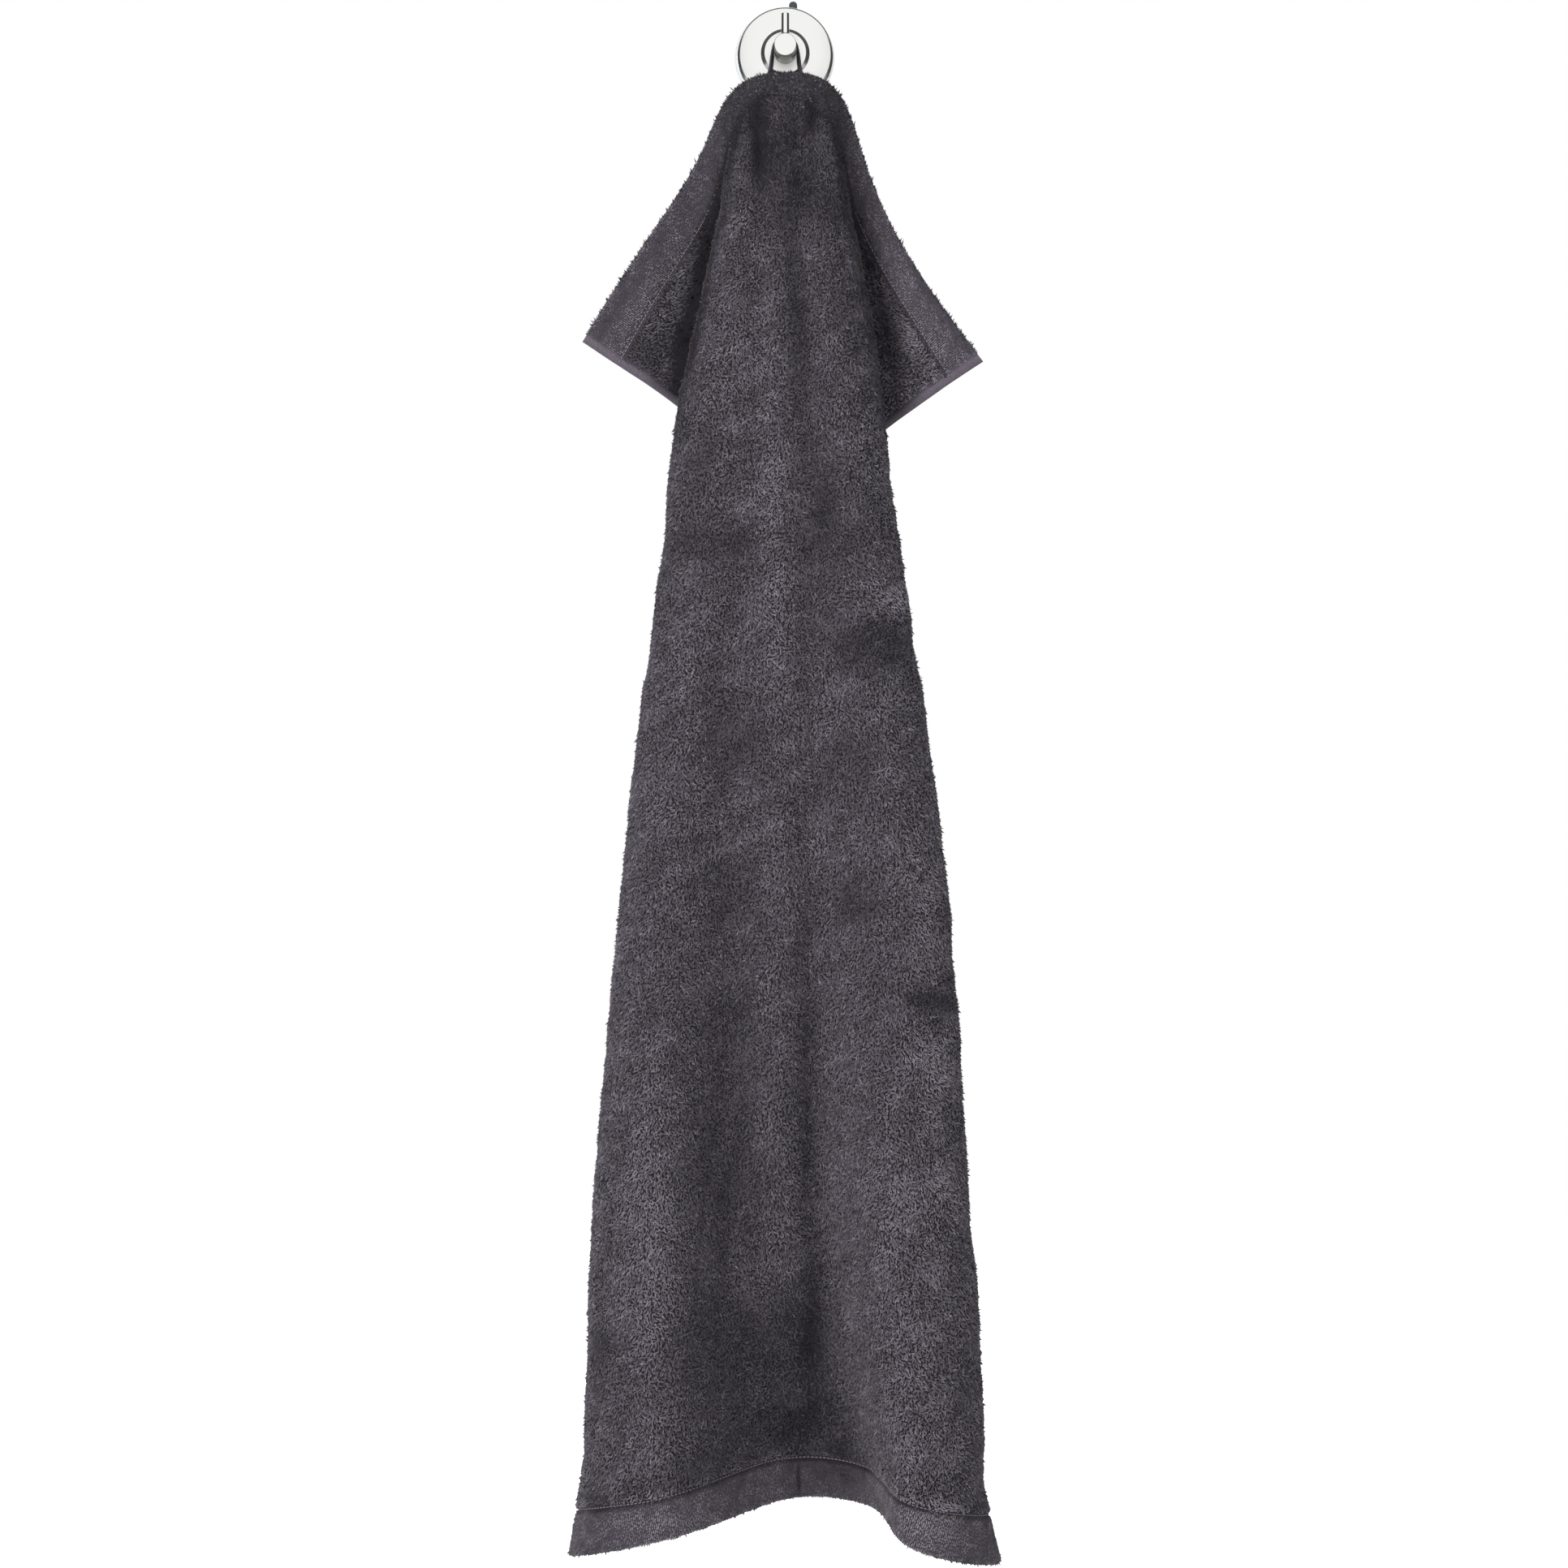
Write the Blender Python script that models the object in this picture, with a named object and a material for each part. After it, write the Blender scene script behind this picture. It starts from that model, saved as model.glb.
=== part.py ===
"""Hand towel hung by its loop on a round steel wall hook.

Metres, +Z up. The origin is the centre of the hook's flat back, in the wall's plane y = 0.
Everything stands out from the wall towards -Y, and +X is to the right of someone facing it.
Sizes in the tables and constants below are millimetres.
"""

import math

import bmesh
import bpy
import numpy as np

MM = 0.001
GAP = 0.3
SHARP_ANGLE = math.radians(40)

# Hook: every size is a radius, a width or a place along the post's axis, which is the Y axis.
DISC_RADIUS = 35.5
DISC_THICK = 2.2
DISC_SHIFT = -0.5
DISC_EDGE = 0.4
DISC_RIM = 0.7
COVER_RADIUS = 34.0
COVER_BACK = DISC_THICK + GAP
COVER_EDGE = 0.4
COVER_RIM = 12.5
COVER_RIM_ROUND = 3.0
COVER_RIM_TURN = 70.0
COVER_CROWN = 19.4
CROWN_BOW = 0.1
BOSS_ROOT_RADIUS = 17.3
BOSS_RADIUS = 14.7
BOSS_FRONT = 22.0
POST_RADIUS = 7.85
POST_FRONT = 51.0
POST_EDGE = 0.5
PIN_RADIUS = 2.8
PIN_TOP = 22.6
PIN_SETBACK = 4.2
PIN_EDGE = 0.3
TAB_WIDTH = 5.8
TAB_THICK = 1.5
TAB_X = 5.6
TAB_FOOT = 18.0
TAB_TIP = 40.0
CUT_PAST = 1.0

# How many steps make a full turn, the cover's rim and crown, the pin's turn and the tab's tip.
ROUND_STEPS = 48
RIM_STEPS = 6
CROWN_STEPS = 4
PIN_STEPS = 28
TIP_STEPS = 12

# Towel cloth: cut size, thickness, and the two hems with their sewn troughs.
TOWEL_LENGTH = 1020.0
CLOTH_THICK = 3.0
HEM_THICK = 4.2
STITCH_THICK = 2.2
SELVEDGE_THICK = 2.0
HEM_DEPTH = 28.0
STITCH_REACH = 3.0

# Hanging loop: one tape that passes over the post.
TAPE_WIDTH = 8.0
TAPE_THICK = 1.5
TAPE_Y = -28.0
STRAP_X = 10.3
STRAP_Z = -15.0
SEW_X = 8.0
SEW_DOWN = (9.0, 15.0, 21.0)
SEW_GAP = 0.95
OVER_STEPS = 8
HANG_STEPS = 16

# Folds of the cloth, from the left selvedge to the right one. "back" is the inner bend of the
# pleat behind the front panel, "edge" the outer bend that shows as the towel's side, "lobe" the
# crest of a front wave, "groove" a hollow beside the middle ridge.
FOLDS = (
    "selvedge_l", "back_l", "edge_l", "lobe_l", "groove_l", "ridge",
    "groove_r", "lobe_r", "edge_r", "back_r", "selvedge_r",
)

# Upper part, from the top hem to where the side wings end: one row for each distance down the
# cloth, and for each fold its x, y and z.
WINGS = (
    (0.0,
     (-144.0, -22.0, -205.5), (-99.0, -20.0, -135.0), (-57.5, -17.5, -67.0), (-35.5, -23.5, -27.5),
     (-16.0, -36.0, -19.5), (0.0, -38.0, -18.0), (16.0, -36.0, -19.0), (32.5, -24.5, -25.0),
     (55.5, -17.5, -75.0), (88.0, -20.0, -146.0), (140.5, -22.0, -219.5)),
    (28.0,
     (-119.0, -20.0, -222.0), (-81.0, -17.0, -156.0), (-46.0, -22.0, -92.0), (-28.0, -43.0, -44.0),
     (-13.5, -50.0, -35.0), (0.0, -52.0, -36.0), (13.5, -50.0, -39.0), (27.5, -43.0, -49.0),
     (44.0, -22.0, -96.0), (78.0, -17.0, -168.0), (119.0, -20.0, -233.5)),
    (60.0,
     (-93.0, -18.0, -239.0), (-43.0, -15.0, -152.0), (-39.0, -33.0, -84.0), (-23.0, -54.0, -64.0),
     (-12.5, -55.0, -64.0), (0.0, -59.0, -66.0), (12.5, -54.0, -66.0), (24.0, -54.0, -67.0),
     (40.5, -33.0, -90.0), (46.0, -15.0, -162.0), (94.0, -18.0, -251.0)),
    (100.0,
     (-62.0, -16.0, -264.0), (-23.0, -15.0, -174.0), (-44.5, -41.0, -114.0), (-27.0, -61.0, -103.0),
     (-13.0, -58.0, -104.0), (0.0, -61.0, -106.0), (12.5, -56.0, -106.0), (27.0, -61.0, -105.0),
     (44.5, -41.0, -117.0), (25.0, -15.0, -182.0), (61.0, -16.0, -276.0)),
    (160.0,
     (-40.0, -13.0, -306.0), (-14.0, -18.0, -222.0), (-56.0, -45.0, -172.0), (-31.0, -65.0, -163.0),
     (-15.0, -60.0, -165.0), (0.0, -62.0, -166.0), (14.0, -57.0, -166.0), (32.0, -64.0, -165.0),
     (56.0, -45.0, -175.0), (15.0, -18.0, -228.0), (38.0, -13.0, -316.0)),
    (240.0,
     (-42.0, -12.0, -372.0), (-12.0, -21.0, -290.0), (-73.0, -48.0, -250.0), (-38.0, -66.0, -245.0),
     (-18.0, -61.0, -246.0), (0.0, -63.0, -246.0), (16.5, -57.0, -247.0), (38.0, -66.0, -246.0),
     (66.5, -48.0, -253.0), (12.0, -21.0, -294.0), (40.0, -12.0, -380.0)),
)

# Lower part, where the threads hang straight: one row for each distance down the cloth, with
# the height of the middle, how much lower the left edge, the right edge and the selvedges lie,
# and for each fold its x and y.
CURTAIN = (
    (340.0, -345.0, 4.0, 4.0, 108.0,
     (-52.0, -12.0), (-17.0, -23.0), (-84.0, -49.0), (-50.0, -68.0), (-23.0, -62.0), (-1.0, -65.0),
     (18.5, -59.0), (46.0, -68.0), (78.0, -49.0), (17.0, -23.0), (50.0, -12.0)),
    (480.0, -486.0, 6.0, 6.0, 94.0,
     (-76.0, -12.0), (-31.0, -24.0), (-103.0, -49.0), (-70.0, -73.0), (-34.0, -63.0), (-3.0, -70.0),
     (19.0, -61.0), (68.0, -75.0), (99.5, -49.0), (31.0, -24.0), (74.0, -12.0)),
    (640.0, -646.0, 10.0, 10.0, 78.0,
     (-100.0, -11.0), (-58.0, -24.0), (-119.5, -49.0), (-83.0, -79.0), (-36.0, -58.0), (-4.0, -67.0),
     (18.0, -56.0), (74.0, -81.0), (117.5, -49.0), (58.0, -24.0), (98.0, -11.0)),
    (800.0, -806.0, 16.0, 18.0, 62.0,
     (-122.0, -11.0), (-97.0, -24.0), (-133.0, -49.0), (-87.0, -87.0), (-36.0, -44.0), (-4.0, -50.0),
     (19.0, -39.0), (76.0, -88.0), (127.5, -49.0), (96.0, -24.0), (118.0, -11.0)),
    (930.0, -936.0, 24.0, 27.0, 48.0,
     (-133.0, -12.0), (-132.0, -27.0), (-138.5, -49.0), (-88.0, -93.0), (-29.0, -37.0), (3.0, -24.0),
     (38.0, -31.0), (80.0, -94.0), (137.0, -50.0), (132.0, -29.0), (131.0, -13.0)),
    (992.0, -998.0, 31.0, 34.0, 39.0,
     (-138.0, -14.0), (-143.5, -31.0), (-144.5, -50.0), (-91.0, -95.0), (-27.0, -44.0), (9.0, -18.0),
     (55.0, -31.0), (84.5, -97.0), (140.5, -54.0), (140.5, -33.0), (136.0, -16.0)),
    (1020.0, -1026.0, 34.0, 38.0, 39.0,
     (-143.0, -16.0), (-149.0, -33.0), (-150.0, -51.0), (-93.0, -96.0), (-26.0, -49.0), (12.0, -17.0),
     (62.0, -34.0), (86.0, -98.0), (148.0, -59.0), (148.5, -36.0), (142.0, -18.0)),
)
LOBE_SHARE = 0.5
GROOVE_SHARE = 0.1

# How many faces lie between two folds, and at which distances down the cloth a row of them ends.
SPAN_FACES = (6, 5, 4, 4, 3, 3, 4, 4, 5, 6)
ROWS_DOWN = (
    0.0, 5.0, 15.0, 25.0, 28.0, 31.0, 44.0, 58.0, 72.0, 86.0, 102.0, 120.0, 140.0, 160.0, 182.0,
    206.0, 232.0, 260.0, 290.0, 322.0, 356.0, 392.0, 430.0, 470.0, 512.0, 556.0, 600.0, 644.0,
    688.0, 732.0, 776.0, 818.0, 858.0, 896.0, 930.0, 960.0, 980.0, 989.0, 992.0, 995.0, 1005.0,
    1015.0, 1020.0,
)


def clear_scene():
    """Removes every object, so that only this part is left."""
    for item in list(bpy.data.objects):
        bpy.data.objects.remove(item, do_unlink=True)


def material(name, colour, roughness, metallic=0.0, alpha=1.0):
    """A Principled material of one colour."""
    made = bpy.data.materials.new(name)
    made.use_nodes = True
    shader = made.node_tree.nodes["Principled BSDF"]
    shader.inputs["Base Color"].default_value = (*colour, 1.0)
    shader.inputs["Roughness"].default_value = roughness
    shader.inputs["Metallic"].default_value = metallic
    shader.inputs["Alpha"].default_value = alpha
    return made


def add_object(name, mesh, finish, parent=None):
    """Links an object with this mesh and material."""
    made = bpy.data.objects.new(name, mesh)
    mesh.materials.append(finish)
    bpy.context.collection.objects.link(made)
    made.parent = parent
    return made


def mesh_from(name, points, faces):
    """A mesh from points in millimetres, with its faces turned outward."""
    mesh = bpy.data.meshes.new(name)
    mesh.from_pydata([tuple(c * MM for c in point) for point in points], [], faces)
    shape = bmesh.new()
    shape.from_mesh(mesh)
    bmesh.ops.recalc_face_normals(shape, faces=shape.faces)
    shape.to_mesh(mesh)
    shape.free()
    mesh.shade_smooth()
    mesh.set_sharp_from_angle(angle=SHARP_ANGLE)
    return mesh


def turned_mesh(name, profile):
    """A solid turned round the Y axis from a profile of (radius, distance out from the wall).

    The profile starts and ends on the axis.
    """
    points = [(0.0, -profile[0][1], 0.0)]
    for radius, out in profile[1:-1]:
        for step in range(ROUND_STEPS):
            turn = 2.0 * math.pi * step / ROUND_STEPS
            points.append((radius * math.cos(turn), -out, radius * math.sin(turn)))
    points.append((0.0, -profile[-1][1], 0.0))
    last = len(points) - 1
    rings = len(profile) - 2
    faces = []
    for step in range(ROUND_STEPS):
        after = (step + 1) % ROUND_STEPS
        faces.append((0, 1 + step, 1 + after))
        for ring in range(rings - 1):
            low = 1 + ring * ROUND_STEPS
            high = low + ROUND_STEPS
            faces.append((low + step, high + step, high + after, low + after))
        front = 1 + (rings - 1) * ROUND_STEPS
        faces.append((front + step, last, front + after))
    return mesh_from(name, points, faces)


def arc(centre, radius, start, end, steps):
    """Points of a circle's arc, with its angles in degrees."""
    turns = np.radians(np.linspace(start, end, steps + 1))
    return [(centre[0] + radius * math.cos(a), centre[1] + radius * math.sin(a)) for a in turns]


def suction_disc(finish, wall):
    """The clear disc that holds to the wall, with a slightly rounded front rim."""
    profile = [(0.0, 0.0), (DISC_RADIUS - DISC_EDGE, 0.0), (DISC_RADIUS, DISC_EDGE)]
    profile += [(DISC_RADIUS, DISC_THICK - DISC_RIM), (DISC_RADIUS - DISC_RIM, DISC_THICK)]
    profile.append((0.0, DISC_THICK))
    made = add_object("suction_disc", turned_mesh("suction_disc", profile), finish, wall)
    made.location.x = DISC_SHIFT * MM
    return made


def flange_cover(finish, wall):
    """The pressed steel cover: deep side wall, rounded rim, shallow crown and a bevelled boss."""
    profile = [(0.0, COVER_BACK), (COVER_RADIUS - COVER_EDGE, COVER_BACK)]
    profile.append((COVER_RADIUS, COVER_BACK + COVER_EDGE))
    centre = (COVER_RADIUS - COVER_RIM_ROUND, COVER_RIM)
    profile += arc(centre, COVER_RIM_ROUND, 0.0, COVER_RIM_TURN, RIM_STEPS)
    rim_end, crown_start = profile[-1]
    rise = COVER_CROWN - crown_start
    for step in range(1, CROWN_STEPS + 1):
        share = step / CROWN_STEPS
        radius = rim_end + (BOSS_ROOT_RADIUS - rim_end) * share
        profile.append((radius, crown_start + rise * (share + CROWN_BOW * math.sin(share * math.pi))))
    profile += [(BOSS_RADIUS, BOSS_FRONT), (0.0, BOSS_FRONT)]
    made = add_object("flange_cover", turned_mesh("flange_cover", profile), finish, wall)
    cutter = tab_slot(wall)
    cut = made.modifiers.new("tab slot", "BOOLEAN")
    cut.operation = "DIFFERENCE"
    cut.solver = "EXACT"
    cut.object = cutter
    return made


def tab_slot(wall):
    """The slot in the cover's back through which the release tab comes out."""
    half = TAB_WIDTH / 2 + GAP
    near = COVER_BACK - CUT_PAST
    far = COVER_BACK + TAB_THICK + GAP
    low = TAB_FOOT - GAP
    high = COVER_RADIUS + CUT_PAST
    corners = [
        (TAB_X + side * half, -out, z)
        for side in (-1, 1) for out in (near, far) for z in (low, high)
    ]
    faces = [(0, 1, 3, 2), (4, 6, 7, 5), (0, 4, 5, 1), (2, 3, 7, 6), (0, 2, 6, 4), (1, 5, 7, 3)]
    made = bpy.data.objects.new("tab_slot_cutter", mesh_from("tab_slot_cutter", corners, faces))
    bpy.context.collection.objects.link(made)
    made.parent = wall
    made.hide_render = True
    made.display_type = "WIRE"
    return made


def release_tab(finish, wall):
    """The tab above the cover that lifts the suction disc's rim, with a round tip."""
    half = TAB_WIDTH / 2
    outline = [(TAB_X - half, TAB_FOOT), (TAB_X + half, TAB_FOOT)]
    outline += arc((TAB_X, TAB_TIP - half), half, 0.0, 180.0, TIP_STEPS)
    count = len(outline)
    points = [(x, -COVER_BACK, z) for x, z in outline]
    points += [(x, -(COVER_BACK + TAB_THICK), z) for x, z in outline]
    faces = [tuple(range(count)), tuple(range(2 * count - 1, count - 1, -1))]
    faces += [(i, (i + 1) % count, count + (i + 1) % count, count + i) for i in range(count)]
    return add_object("release_tab", mesh_from("release_tab", points, faces), finish, wall)


def hook_post(finish, wall):
    """The round bar that carries the loop."""
    root = BOSS_FRONT + GAP
    profile = [(0.0, root), (POST_RADIUS, root), (POST_RADIUS, POST_FRONT - POST_EDGE)]
    profile += [(POST_RADIUS - POST_EDGE, POST_FRONT), (0.0, POST_FRONT)]
    return add_object("hook_post", turned_mesh("hook_post", profile), finish, wall)


def post_pin(finish, wall):
    """The upright pin at the post's front end, which keeps the loop from sliding off."""
    bpy.ops.mesh.primitive_cylinder_add(
        vertices=PIN_STEPS,
        radius=PIN_RADIUS * MM,
        depth=(PIN_TOP - POST_RADIUS - GAP) * MM,
        location=(0.0, -(POST_FRONT - PIN_SETBACK) * MM, (PIN_TOP + POST_RADIUS + GAP) / 2 * MM),
    )
    made = bpy.context.object
    made.name = "post_pin"
    made.data.name = "post_pin"
    made.data.materials.append(finish)
    made.parent = wall
    bevel = made.modifiers.new("eased ends", "BEVEL")
    bevel.width = PIN_EDGE * MM
    bevel.segments = 1
    bevel.limit_method = "ANGLE"
    bevel.angle_limit = SHARP_ANGLE
    made.data.shade_smooth()
    made.data.set_sharp_from_angle(angle=SHARP_ANGLE)
    return made


def curve_through(knots, values, at):
    """A smooth curve through values at knots, read at other places.

    It is the natural cubic spline, worked out for every column of values at once.
    """
    knots = np.asarray(knots, float)
    values = np.asarray(values, float)
    at = np.asarray(at, float)
    steps = np.diff(knots)
    count = len(knots)
    system = np.eye(count)
    right = np.zeros_like(values)
    for k in range(1, count - 1):
        system[k, k - 1] = steps[k - 1]
        system[k, k] = 2.0 * (steps[k - 1] + steps[k])
        system[k, k + 1] = steps[k]
        rise = (values[k + 1] - values[k]) / steps[k]
        run = (values[k] - values[k - 1]) / steps[k - 1]
        right[k] = 6.0 * (rise - run)
    bends = np.linalg.solve(system, right)
    k = np.clip(np.searchsorted(knots, at, side="right") - 1, 0, count - 2)
    step = steps[k][:, None]
    near = (knots[k + 1] - at)[:, None]
    far = (at - knots[k])[:, None]
    cubic = (bends[k] * near**3 + bends[k + 1] * far**3) / (6.0 * step)
    linear = (values[k] / step - bends[k] * step / 6.0) * near
    linear += (values[k + 1] / step - bends[k + 1] * step / 6.0) * far
    return cubic + linear


def side_drops(edge_drop, selvedge_drop):
    """How much lower than the middle each fold of one side lies, from its selvedge inward."""
    back_drop = (edge_drop + selvedge_drop) / 2
    return (selvedge_drop, back_drop, edge_drop, edge_drop * LOBE_SHARE, edge_drop * GROOVE_SHARE)


def fold_table():
    """The distances down the cloth, and for each of them a point on every fold."""
    downs = []
    rows = []
    for down, *points in WINGS:
        downs.append(down)
        rows.append(points)
    for down, height, left_drop, right_drop, selvedge_drop, *points in CURTAIN:
        left = side_drops(left_drop, selvedge_drop)
        right = side_drops(right_drop, selvedge_drop)
        drops = (*left, 0.0, *reversed(right))
        downs.append(down)
        rows.append([(x, y, height - drop) for (x, y), drop in zip(points, drops)])
    return np.array(downs), np.array(rows)


def cloth_middle(downs):
    """The cloth's middle surface: one row of points for each distance down, selvedge to selvedge."""
    levels, table = fold_table()
    flat = table.reshape(len(levels), -1)
    crossings = curve_through(levels, flat, downs).reshape(len(downs), len(FOLDS), 3)
    rows = []
    for crossing in crossings:
        chords = np.linalg.norm(np.diff(crossing, axis=0), axis=1)
        knots = np.concatenate([[0.0], np.cumsum(chords)])
        places = []
        for span, faces in enumerate(SPAN_FACES):
            places += [knots[span] + chords[span] * k / faces for k in range(faces)]
        places.append(knots[-1])
        rows.append(curve_through(knots, crossing, places))
    return np.array(rows)


def surface_normals(middle):
    """Unit normals of the middle surface, which point away from the wall on the front panel."""
    across = np.gradient(middle, axis=1)
    down = np.gradient(middle, axis=0)
    normals = np.cross(down, across)
    return normals / np.linalg.norm(normals, axis=2, keepdims=True)


def thickness_at(down):
    """The cloth's thickness at a distance down it: thick hems, pinched where they are sewn."""
    from_end = min(down, TOWEL_LENGTH - down)
    if abs(from_end - HEM_DEPTH) < STITCH_REACH / 2:
        return STITCH_THICK
    return HEM_THICK if from_end < HEM_DEPTH else CLOTH_THICK


def towel_cloth(finish, wall):
    """The towel: a sheet of even columns and rows, thickened to both sides and closed all round."""
    middle = cloth_middle(ROWS_DOWN)
    normals = surface_normals(middle)
    rows, columns = middle.shape[:2]
    half = np.array([thickness_at(down) / 2 for down in ROWS_DOWN])[:, None, None]
    half = np.repeat(half, columns, axis=1)
    half[:, (0, -1)] = SELVEDGE_THICK / 2
    front = middle + normals * half
    back = middle - normals * half
    points = [tuple(p) for p in front.reshape(-1, 3)] + [tuple(p) for p in back.reshape(-1, 3)]
    behind = rows * columns
    faces = []
    for row in range(rows - 1):
        for column in range(columns - 1):
            a = row * columns + column
            quad = (a, a + 1, a + columns + 1, a + columns)
            faces.append(quad)
            faces.append(tuple(behind + corner for corner in reversed(quad)))
    rim = list(range(columns))
    rim += [row * columns + columns - 1 for row in range(1, rows)]
    rim += [(rows - 1) * columns + column for column in range(columns - 2, -1, -1)]
    rim += [row * columns for row in range(rows - 2, 0, -1)]
    for here, after in zip(rim, rim[1:] + rim[:1]):
        faces.append((here, behind + here, behind + after, after))
    return add_object("towel_cloth", mesh_from("towel_cloth", points, faces), finish, wall)


def hem_back_point(side, down):
    """A point just behind the top hem at one of the loop's sewn ends, and the cloth's way across."""
    step = 1.0
    middle = cloth_middle((down, down + step))
    offsets = middle[0, :, 0] - side * SEW_X
    right = int(np.argmax(offsets > 0.0))
    share = offsets[right] / (offsets[right] - offsets[right - 1])
    point = middle[0, right] * (1.0 - share) + middle[0, right - 1] * share
    below = middle[1, right] * (1.0 - share) + middle[1, right - 1] * share
    across = middle[0, right] - middle[0, right - 1]
    across /= np.linalg.norm(across)
    normal = np.cross(across, below - point)
    normal *= math.copysign(1.0, normal[1]) / np.linalg.norm(normal)
    clear = HEM_THICK / 2 + SEW_GAP + TAPE_THICK / 2
    return point + normal * clear, across


def strap_path(side):
    """One side of the loop, from the top of the post down to its sewn end.

    Each station is a point, and the direction of the tape's width there.
    """
    radius = POST_RADIUS + GAP + TAPE_THICK / 2
    reach = math.hypot(STRAP_X, STRAP_Z)
    leave = math.acos(radius / reach) + math.atan2(STRAP_Z, STRAP_X)
    outward = np.array([0.0, 1.0, 0.0])
    stations = []
    for step in range(OVER_STEPS + 1):
        turn = math.pi / 2 + (leave - math.pi / 2) * step / OVER_STEPS
        place = np.array([side * radius * math.cos(turn), TAPE_Y, radius * math.sin(turn)])
        stations.append((place, outward))
    sewn = [hem_back_point(side, down) for down in SEW_DOWN]
    across = sewn[0][1]
    hang = np.array([side * STRAP_X, TAPE_Y, STRAP_Z])
    leaves = stations[-1][0]
    keys = np.array([leaves, (leaves + hang) / 2, hang, *(place for place, _ in sewn)])
    chords = np.concatenate([[0.0], np.cumsum(np.linalg.norm(np.diff(keys, axis=0), axis=1))])
    twist_start = chords[1]
    twist_end = chords[3]
    for place_at in np.linspace(0.0, chords[-1], HANG_STEPS + 1)[1:]:
        place = curve_through(chords, keys, [place_at])[0]
        share = min(max((place_at - twist_start) / (twist_end - twist_start), 0.0), 1.0)
        turn = share * share * (3.0 - 2.0 * share) * math.pi / 2
        width = outward * math.cos(turn) - side * across * math.sin(turn)
        stations.append((place, width))
    return stations


def hanging_loop(finish, wall):
    """The tape: a flat section carried over the post, each end twisted flat behind the hem."""
    left = strap_path(-1)
    right = strap_path(1)
    stations = [(p, -w) for p, w in reversed(left)] + [(p, -w) for p, w in right[1:]]
    places = np.array([p for p, _ in stations])
    along = np.gradient(places, axis=0)
    points = []
    for (place, width), forward in zip(stations, along):
        forward = forward / np.linalg.norm(forward)
        width = width - forward * np.dot(width, forward)
        width = width / np.linalg.norm(width)
        normal = np.cross(forward, width)
        for side, face in ((-1, -1), (1, -1), (1, 1), (-1, 1)):
            points.append(place + width * side * TAPE_WIDTH / 2 + normal * face * TAPE_THICK / 2)
    count = len(stations)
    faces = [(0, 1, 2, 3), tuple(4 * (count - 1) + k for k in (3, 2, 1, 0))]
    for station in range(count - 1):
        low = 4 * station
        for k in range(4):
            after = (k + 1) % 4
            faces.append((low + k, low + after, low + 4 + after, low + 4 + k))
    mesh = mesh_from("hanging_loop", [tuple(p) for p in points], faces)
    return add_object("hanging_loop", mesh, finish, wall)


def main():
    """Builds the hook, the towel and its loop, all carried by one empty on the wall."""
    clear_scene()
    wall = bpy.data.objects.new("wall_point", None)
    bpy.context.collection.objects.link(wall)
    steel = material("brushed steel", (0.62, 0.61, 0.59), 0.32, metallic=1.0)
    terry = material("anthracite terry", (0.070, 0.060, 0.074), 0.95)
    tape = material("woven cotton tape", (0.060, 0.053, 0.064), 0.9)
    clear = material("clear vinyl", (0.85, 0.88, 0.90), 0.12, alpha=0.4)
    black = material("black moulded tab", (0.016, 0.019, 0.021), 0.5)
    suction_disc(clear, wall)
    release_tab(black, wall)
    flange_cover(steel, wall)
    hook_post(steel, wall)
    post_pin(steel, wall)
    towel_cloth(terry, wall)
    hanging_loop(tape, wall)


main()
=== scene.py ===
"""The looks of a terry hand towel that hangs by its loop on a round steel wall hook.

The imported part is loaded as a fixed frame. Each soft or turned piece is then made finer over its
own solid, and every surface gets a finish named for the real material. Sizes in the tables and
the size fields are millimetres, meshes are metres, +Z is up and the wall's plane is y = 0.
"""

import logging
import math
from dataclasses import dataclass, field
from enum import Enum
from typing import Any, Optional, Sequence

import bpy
import numpy as np
from mathutils import Matrix, Vector


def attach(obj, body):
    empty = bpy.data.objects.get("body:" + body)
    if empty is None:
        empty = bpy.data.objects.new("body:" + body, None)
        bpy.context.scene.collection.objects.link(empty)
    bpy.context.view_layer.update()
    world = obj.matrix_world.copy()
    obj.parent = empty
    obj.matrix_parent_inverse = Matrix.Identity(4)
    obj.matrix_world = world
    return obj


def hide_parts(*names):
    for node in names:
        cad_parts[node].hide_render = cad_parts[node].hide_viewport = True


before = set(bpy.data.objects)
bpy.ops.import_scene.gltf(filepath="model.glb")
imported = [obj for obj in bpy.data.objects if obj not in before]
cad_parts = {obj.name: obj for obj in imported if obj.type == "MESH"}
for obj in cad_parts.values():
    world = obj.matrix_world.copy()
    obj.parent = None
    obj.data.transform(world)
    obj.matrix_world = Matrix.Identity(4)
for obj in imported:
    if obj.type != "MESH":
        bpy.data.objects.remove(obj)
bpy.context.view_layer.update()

LOG = logging.getLogger("towel")
MM = 0.001
Points = np.ndarray
Spots = dict[str, Points]
Socket = bpy.types.NodeSocket
Place = tuple[float, float, float]


class Side(Enum):
    """The two faces of the cloth."""

    FRONT = 1.0
    BACK = -1.0


def linear(hex_colour: str) -> tuple[float, float, float, float]:
    """Turns an sRGB hex colour such as "4b464d" into linear red, green, blue and alpha."""
    parts = [int(hex_colour[i:i + 2], 16) / 255.0 for i in (0, 2, 4)]
    turned = [c / 12.92 if c <= 0.04045 else ((c + 0.055) / 1.055) ** 2.4 for c in parts]
    return (turned[0], turned[1], turned[2], 1.0)


def per_mm(size: float) -> float:
    """The scale of a texture whose cells are to be this many millimetres wide."""
    return 1.0 / (size * MM)


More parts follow.
